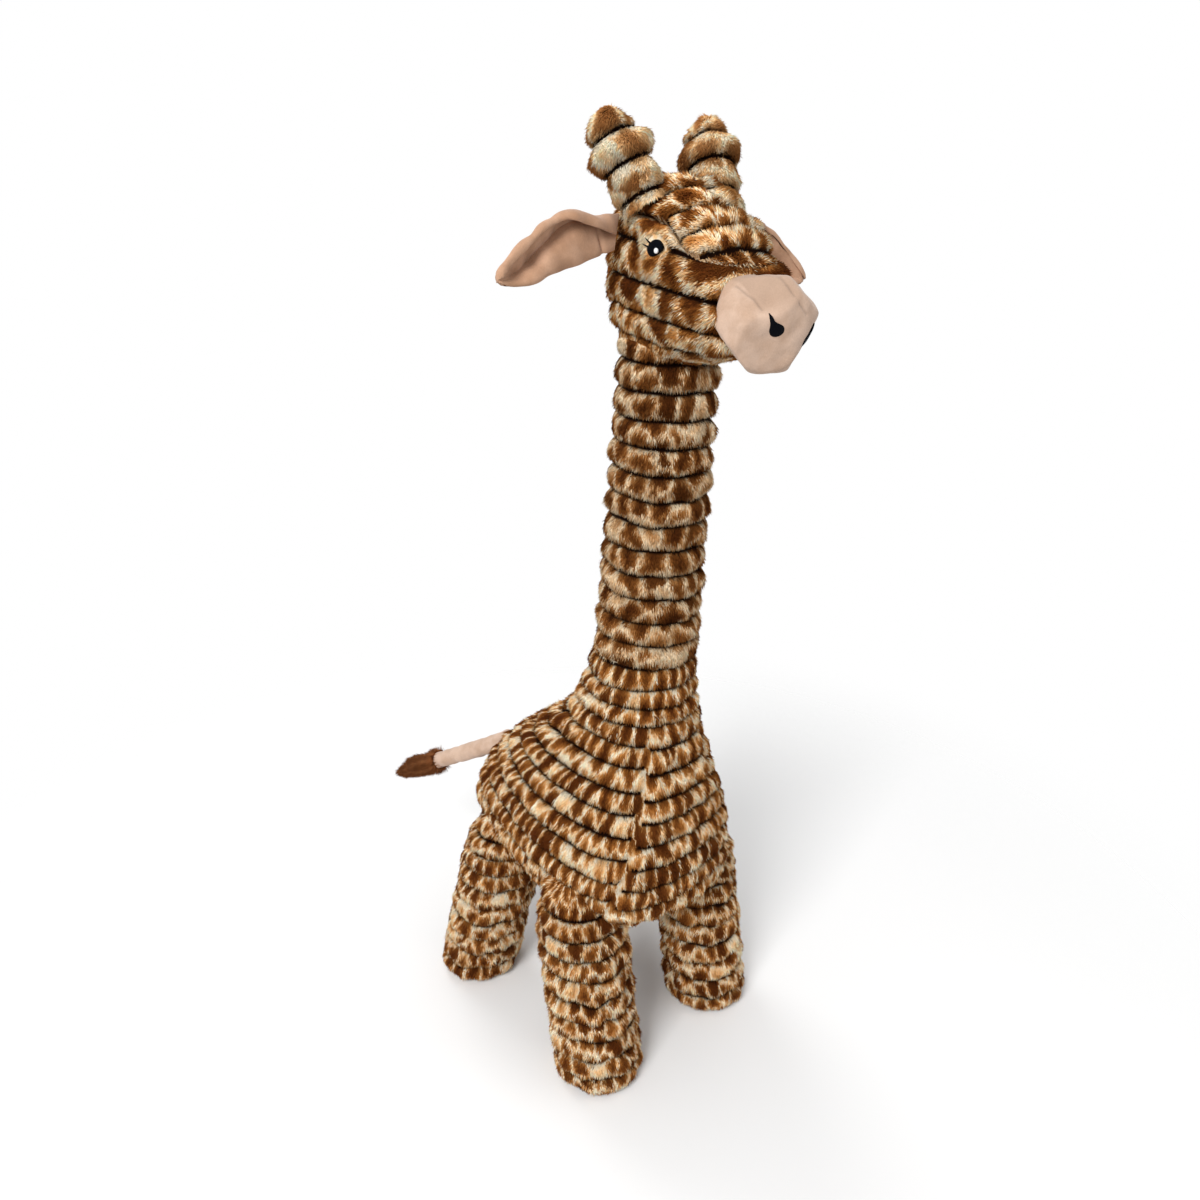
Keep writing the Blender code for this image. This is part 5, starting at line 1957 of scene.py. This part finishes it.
@dataclass
class Tail(Part):
    """A velour tube with a gathered root, and a brush of brown plush at its end.

    The shares are places along the brush and how full it is there.
    """

    root: tuple = (0.0, 0.10104, 0.22214)
    length: float = 0.112
    wide: float = 0.0102
    narrow: float = 0.0085
    slope: float = math.radians(-28.0)
    veer: float = math.radians(24.0)
    tuft: float = 0.064
    rim: float = 0.012
    tip: float = 0.0036
    neck: float = 0.01
    overlap: float = 0.004
    under: float = 0.0016
    gathers: float = 9.0
    hairs: int = 12000
    shares: tuple = ((0.0, 0.8), (0.05, 1.0), (0.22, 0.9), (0.5, 0.7), (0.8, 0.34), (0.96, 0.0))

    def __post_init__(self) -> None:
        """Set the way it points and the ring that its profiles turn on."""
        level = math.cos(self.slope)
        across, back = -level * math.sin(self.veer), level * math.cos(self.veer)
        self.ahead = np.array([across, back, math.sin(self.slope)])
        self.angle = np.linspace(0.0, ROUND, 49)
        flat = np.stack([np.cos(self.angle), np.sin(self.angle), np.zeros_like(self.angle)], -1)
        self.ring = flat @ look_at(self.ahead).T

    def lathe(self, line: Array, r: Array, base: Array) -> Array:
        """A profile turned about the tail's line."""
        return r[:, None, None] * self.ring + line[:, None, None] * self.ahead + base

    def build(self) -> None:
        """Turn the tube, with small wrinkles that are strongest at its root, then the brush."""
        dome = np.linspace(0.06, 1.0, 14) * math.pi / 2.0
        share = np.linspace(0.0, 1.0, 80)[1:]
        line = np.concatenate([-self.wide * np.cos(dome), self.length * share])
        r = np.concatenate([self.wide * np.sin(dome), self.wide + (self.narrow - self.wide) * share])
        p = self.lathe(line, r, np.array(self.root))
        fade = smooth(0.05, 0.0, line)[:, None]
        wrinkle = 0.0003 * ripple(p, 0.012, 9) + 0.0005 * fade * np.cos(self.angle * self.gathers)
        made = grid_piece("tail_velour", (p + self.ring * wrinkle[..., None])[:, :-1], self.pins.velour)
        self.pins.settle(made, Slot.VELOUR, ["tail"], 0.8, Body.TAIL)
        self.brush()

    def brush(self) -> None:
        """The brush: a flat root, then the full part that narrows to its tip, and long hair."""
        line = np.concatenate([np.zeros(7), np.linspace(0.0, self.tuft * 0.985, 56)])
        full = self.tip + (self.rim - self.tip) * np.interp(line / self.tuft, *np.array(self.shares).T)
        full = full * np.sqrt(np.clip((self.tuft - line) / (0.08 * self.tuft), 0.0, 1.0))
        r = np.concatenate([np.linspace(self.neck, full[7], 8)[:-1], full[7:]])
        base = np.array(self.root) + self.ahead * (self.length - self.overlap)
        p = self.lathe(line, r - self.under, base)
        cloth = Cloth(p, self.angle * self.rim, 0.5, 12.0).stitch(0.0, 0.0)
        self.pins.cover("tail_tuft", cloth, self.pins.tuft, 0.7, Body.TAIL, Slot.TUFT)
        pile = Pile(self.hairs, 61, down=self.ahead, length=0.008, width=0.0008, lean=1.12)
        self.pins.grow("tail_tuft_pile", cloth, self.pins.tuft, pile, Body.TAIL, Slot.TUFT)


# Studio


def aim(item: Object, place: Array, target: Array) -> None:
    """Put an item into the scene somewhere and point its -Z at a target.

    Args:
        item: The item.
        place: Where it goes.
        target: What it faces.
    """
    bpy.context.scene.collection.objects.link(item)
    matrix = np.eye(4)
    matrix[:3, :3], matrix[:3, 3] = look_at(place - target), place
    item.matrix_world = Matrix(matrix.tolist())


@dataclass(frozen=True)
class Studio:
    """A pale floor that keeps the shadow, soft lamps and the camera.

    A lamp is its name, its place, its side and its watts.
    """

    target: tuple = (0.0, -0.04618, 0.42768)
    away: tuple = (-0.61347, -0.698, 0.36943)
    distance: float = 0.7978
    lens: float = 27.16
    glow: float = 0.55
    lit: tuple = (0.0, -0.03, 0.4)
    lamps: tuple = (
        ("key_lamp", (-2.2, -1.0, 2.1), 1.1, 72.0),
        ("fill_lamp", (1.5, -2.1, 1.3), 1.8, 8.0),
        ("back_lamp", (0.3, 2.0, 2.2), 1.4, 22.0),
    )
    floor_radius: float = 12.0
    floor_level: float = -0.0004
    floor_fade: tuple = (0.42, 0.85)

    def build(self) -> None:
        """Set the stage, the lamps and the camera."""
        self.floor()
        for name, place, size, power in self.lamps:
            data = bpy.data.lights.new(name, "AREA")
            data.shape, data.size, data.energy = "SQUARE", size, power
            aim(bpy.data.objects.new(name, data), np.array(place), np.array(self.lit))
        self.air()
        self.camera()
        bpy.context.scene.view_settings.view_transform = "Standard"

    def floor(self) -> None:
        """A wide disc under the feet that looks white straight on and still takes the shadow."""
        rim = np.concatenate([self.floor_radius * circle(96), np.full((96, 1), self.floor_level)], -1)
        mesh = bpy.data.meshes.new("floor")
        mesh.from_pydata(rim.tolist(), [], [tuple(range(len(rim)))])
        floor = bpy.data.objects.new("floor", mesh)
        bpy.context.scene.collection.objects.link(floor)
        bench = Dye("studio_floor", (0.9, 0.9, 0.9), 0.95)
        x, y, _ = bench.parts(bench.place())
        away = (x * x + y * y) ** 0.5
        solid = Flow(bench, bench.shader.outputs[0])
        clear = bench.node("ShaderNodeBsdfTransparent", {}, {}, "BSDF")
        feeds = {0: away.rise(*self.floor_fade), 1: solid, 2: clear}
        mixed = bench.node("ShaderNodeMixShader", {}, feeds, "Shader")
        bench.feed(bench.tree.nodes["Material Output"], "Surface", mixed)
        mesh.materials.append(bench.material)

    def air(self) -> None:
        """Soft light from all round, seen as plain white straight on, in mirrors and through glass."""
        world = bpy.data.worlds.new("studio_air")
        bpy.context.scene.world = world
        world.use_nodes = True
        bench = Bench(world.node_tree)
        straight = bench.node("ShaderNodeLightPath", {}, {}, "Is Camera Ray")
        glossy, through = straight.beside("Is Glossy Ray", "Is Transmission Ray")
        seen = straight.math("MAXIMUM", glossy).math("MAXIMUM", through)
        background = bench.tree.nodes["Background"]
        bench.feed(background, 0, (1.0, 1.0, 1.0, 1.0))
        bench.feed(background, 1, seen.math("MULTIPLY_ADD", 1.0 - self.glow, self.glow))

    def camera(self) -> None:
        """The camera at the photograph's angle."""
        data = bpy.data.cameras.new("camera")
        data.lens, data.sensor_width = self.lens, 36.0
        data.clip_start, data.clip_end = 0.01, 60.0
        camera = bpy.data.objects.new("camera", data)
        target = np.array(self.target)
        aim(camera, target + unit(np.array(self.away)) * self.distance, target)
        bpy.context.scene.camera = camera


def corners(box: Sequence[Any]) -> list[list[float]]:
    """A box's two corners as plain lists."""
    return [[float(c) for c in corner] for corner in box]


def main() -> None:
    """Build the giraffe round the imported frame, from the head down, then its hair, then the studio."""
    logging.basicConfig(level=logging.INFO, format="%(message)s")
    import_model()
    pins = Pins(
        bars=FurFinish("fur_bars", 0.0116, 1.6, 0.55, apart=4.3).make(),
        # The neck's print is darker than the head's: painted shade for the shadow under the head.
        rings=FurFinish("fur_rings", 0.0175, 0.95, 1.05, deep=srgb(82, 42, 15), brown=srgb(138, 84, 38),
                        gold=srgb(186, 132, 78), sand=srgb(232, 194, 148), cream=srgb(246, 226, 194)).make(),
        blotches=FurFinish("fur_blotches", 0.0175, 0.95, 1.05, 0.92).make(),
        spots=FurFinish("fur_spots", 0.0135, 0.75, 0.95).make(),
        puffs=FurFinish("fur_puffs", 0.025, 1.15, 0.9, 0.8, deep=srgb(150, 96, 50),
                        brown=srgb(188, 134, 82), gold=srgb(222, 176, 122)).make(),
        velour=VelourFinish("muzzle_velour_nap", srgb(203, 174, 153), srgb(185, 154, 131)).make(),
        ear=VelourFinish("ear_velour_nap", srgb(194, 153, 124), srgb(170, 129, 99)).make(),
        tuft=FurFinish("tuft_brown", 0.012, 1.0, 0.5, deep=srgb(112, 66, 36), brown=srgb(122, 74, 42),
                       gold=srgb(132, 82, 48), sand=srgb(140, 88, 52), cream=srgb(150, 98, 60)).make(),
        navy=ThreadFinish("stitch_navy", srgb(4, 6, 12), 0.6).make(),
        white=ThreadFinish("stitch_white", srgb(238, 238, 238)).make(),
        hair=1.0,
    )
    furred: list[Any] = [Head(pins), Torso(pins), Neck(pins)]
    for item in furred:
        item.build()
    Muzzle(pins).build()
    ear_roots = {Side.RIGHT: ((-0.04298, -0.11339, 0.7257), math.radians(12.0)),
                 Side.LEFT: ((0.04298, -0.11339, 0.72571), math.radians(16.0))}
    nostrils = {Side.RIGHT: (0.0185, -0.2355, 0.6712), Side.LEFT: (0.0112, -0.2355, 0.6632)}
    for side in Side:
        Eye(pins, side).build()
        Nostril(pins, side, nostrils[side]).build()
        Ear(pins, side, *ear_roots[side]).build()
        for item in (
            Horn(pins, side),
            Leg(pins, "front_leg", side, (0.073, -0.12848), (0.0, 0.032)),
            Leg(pins, "rear_leg", side, (0.079, 0.06102), (-0.026, -0.036)),
        ):
            item.build()
            furred.append(item)
    Tail(pins).build()
    for item in furred:
        item.dress()
    Studio().build()


if __name__ == "__main__":
    main()
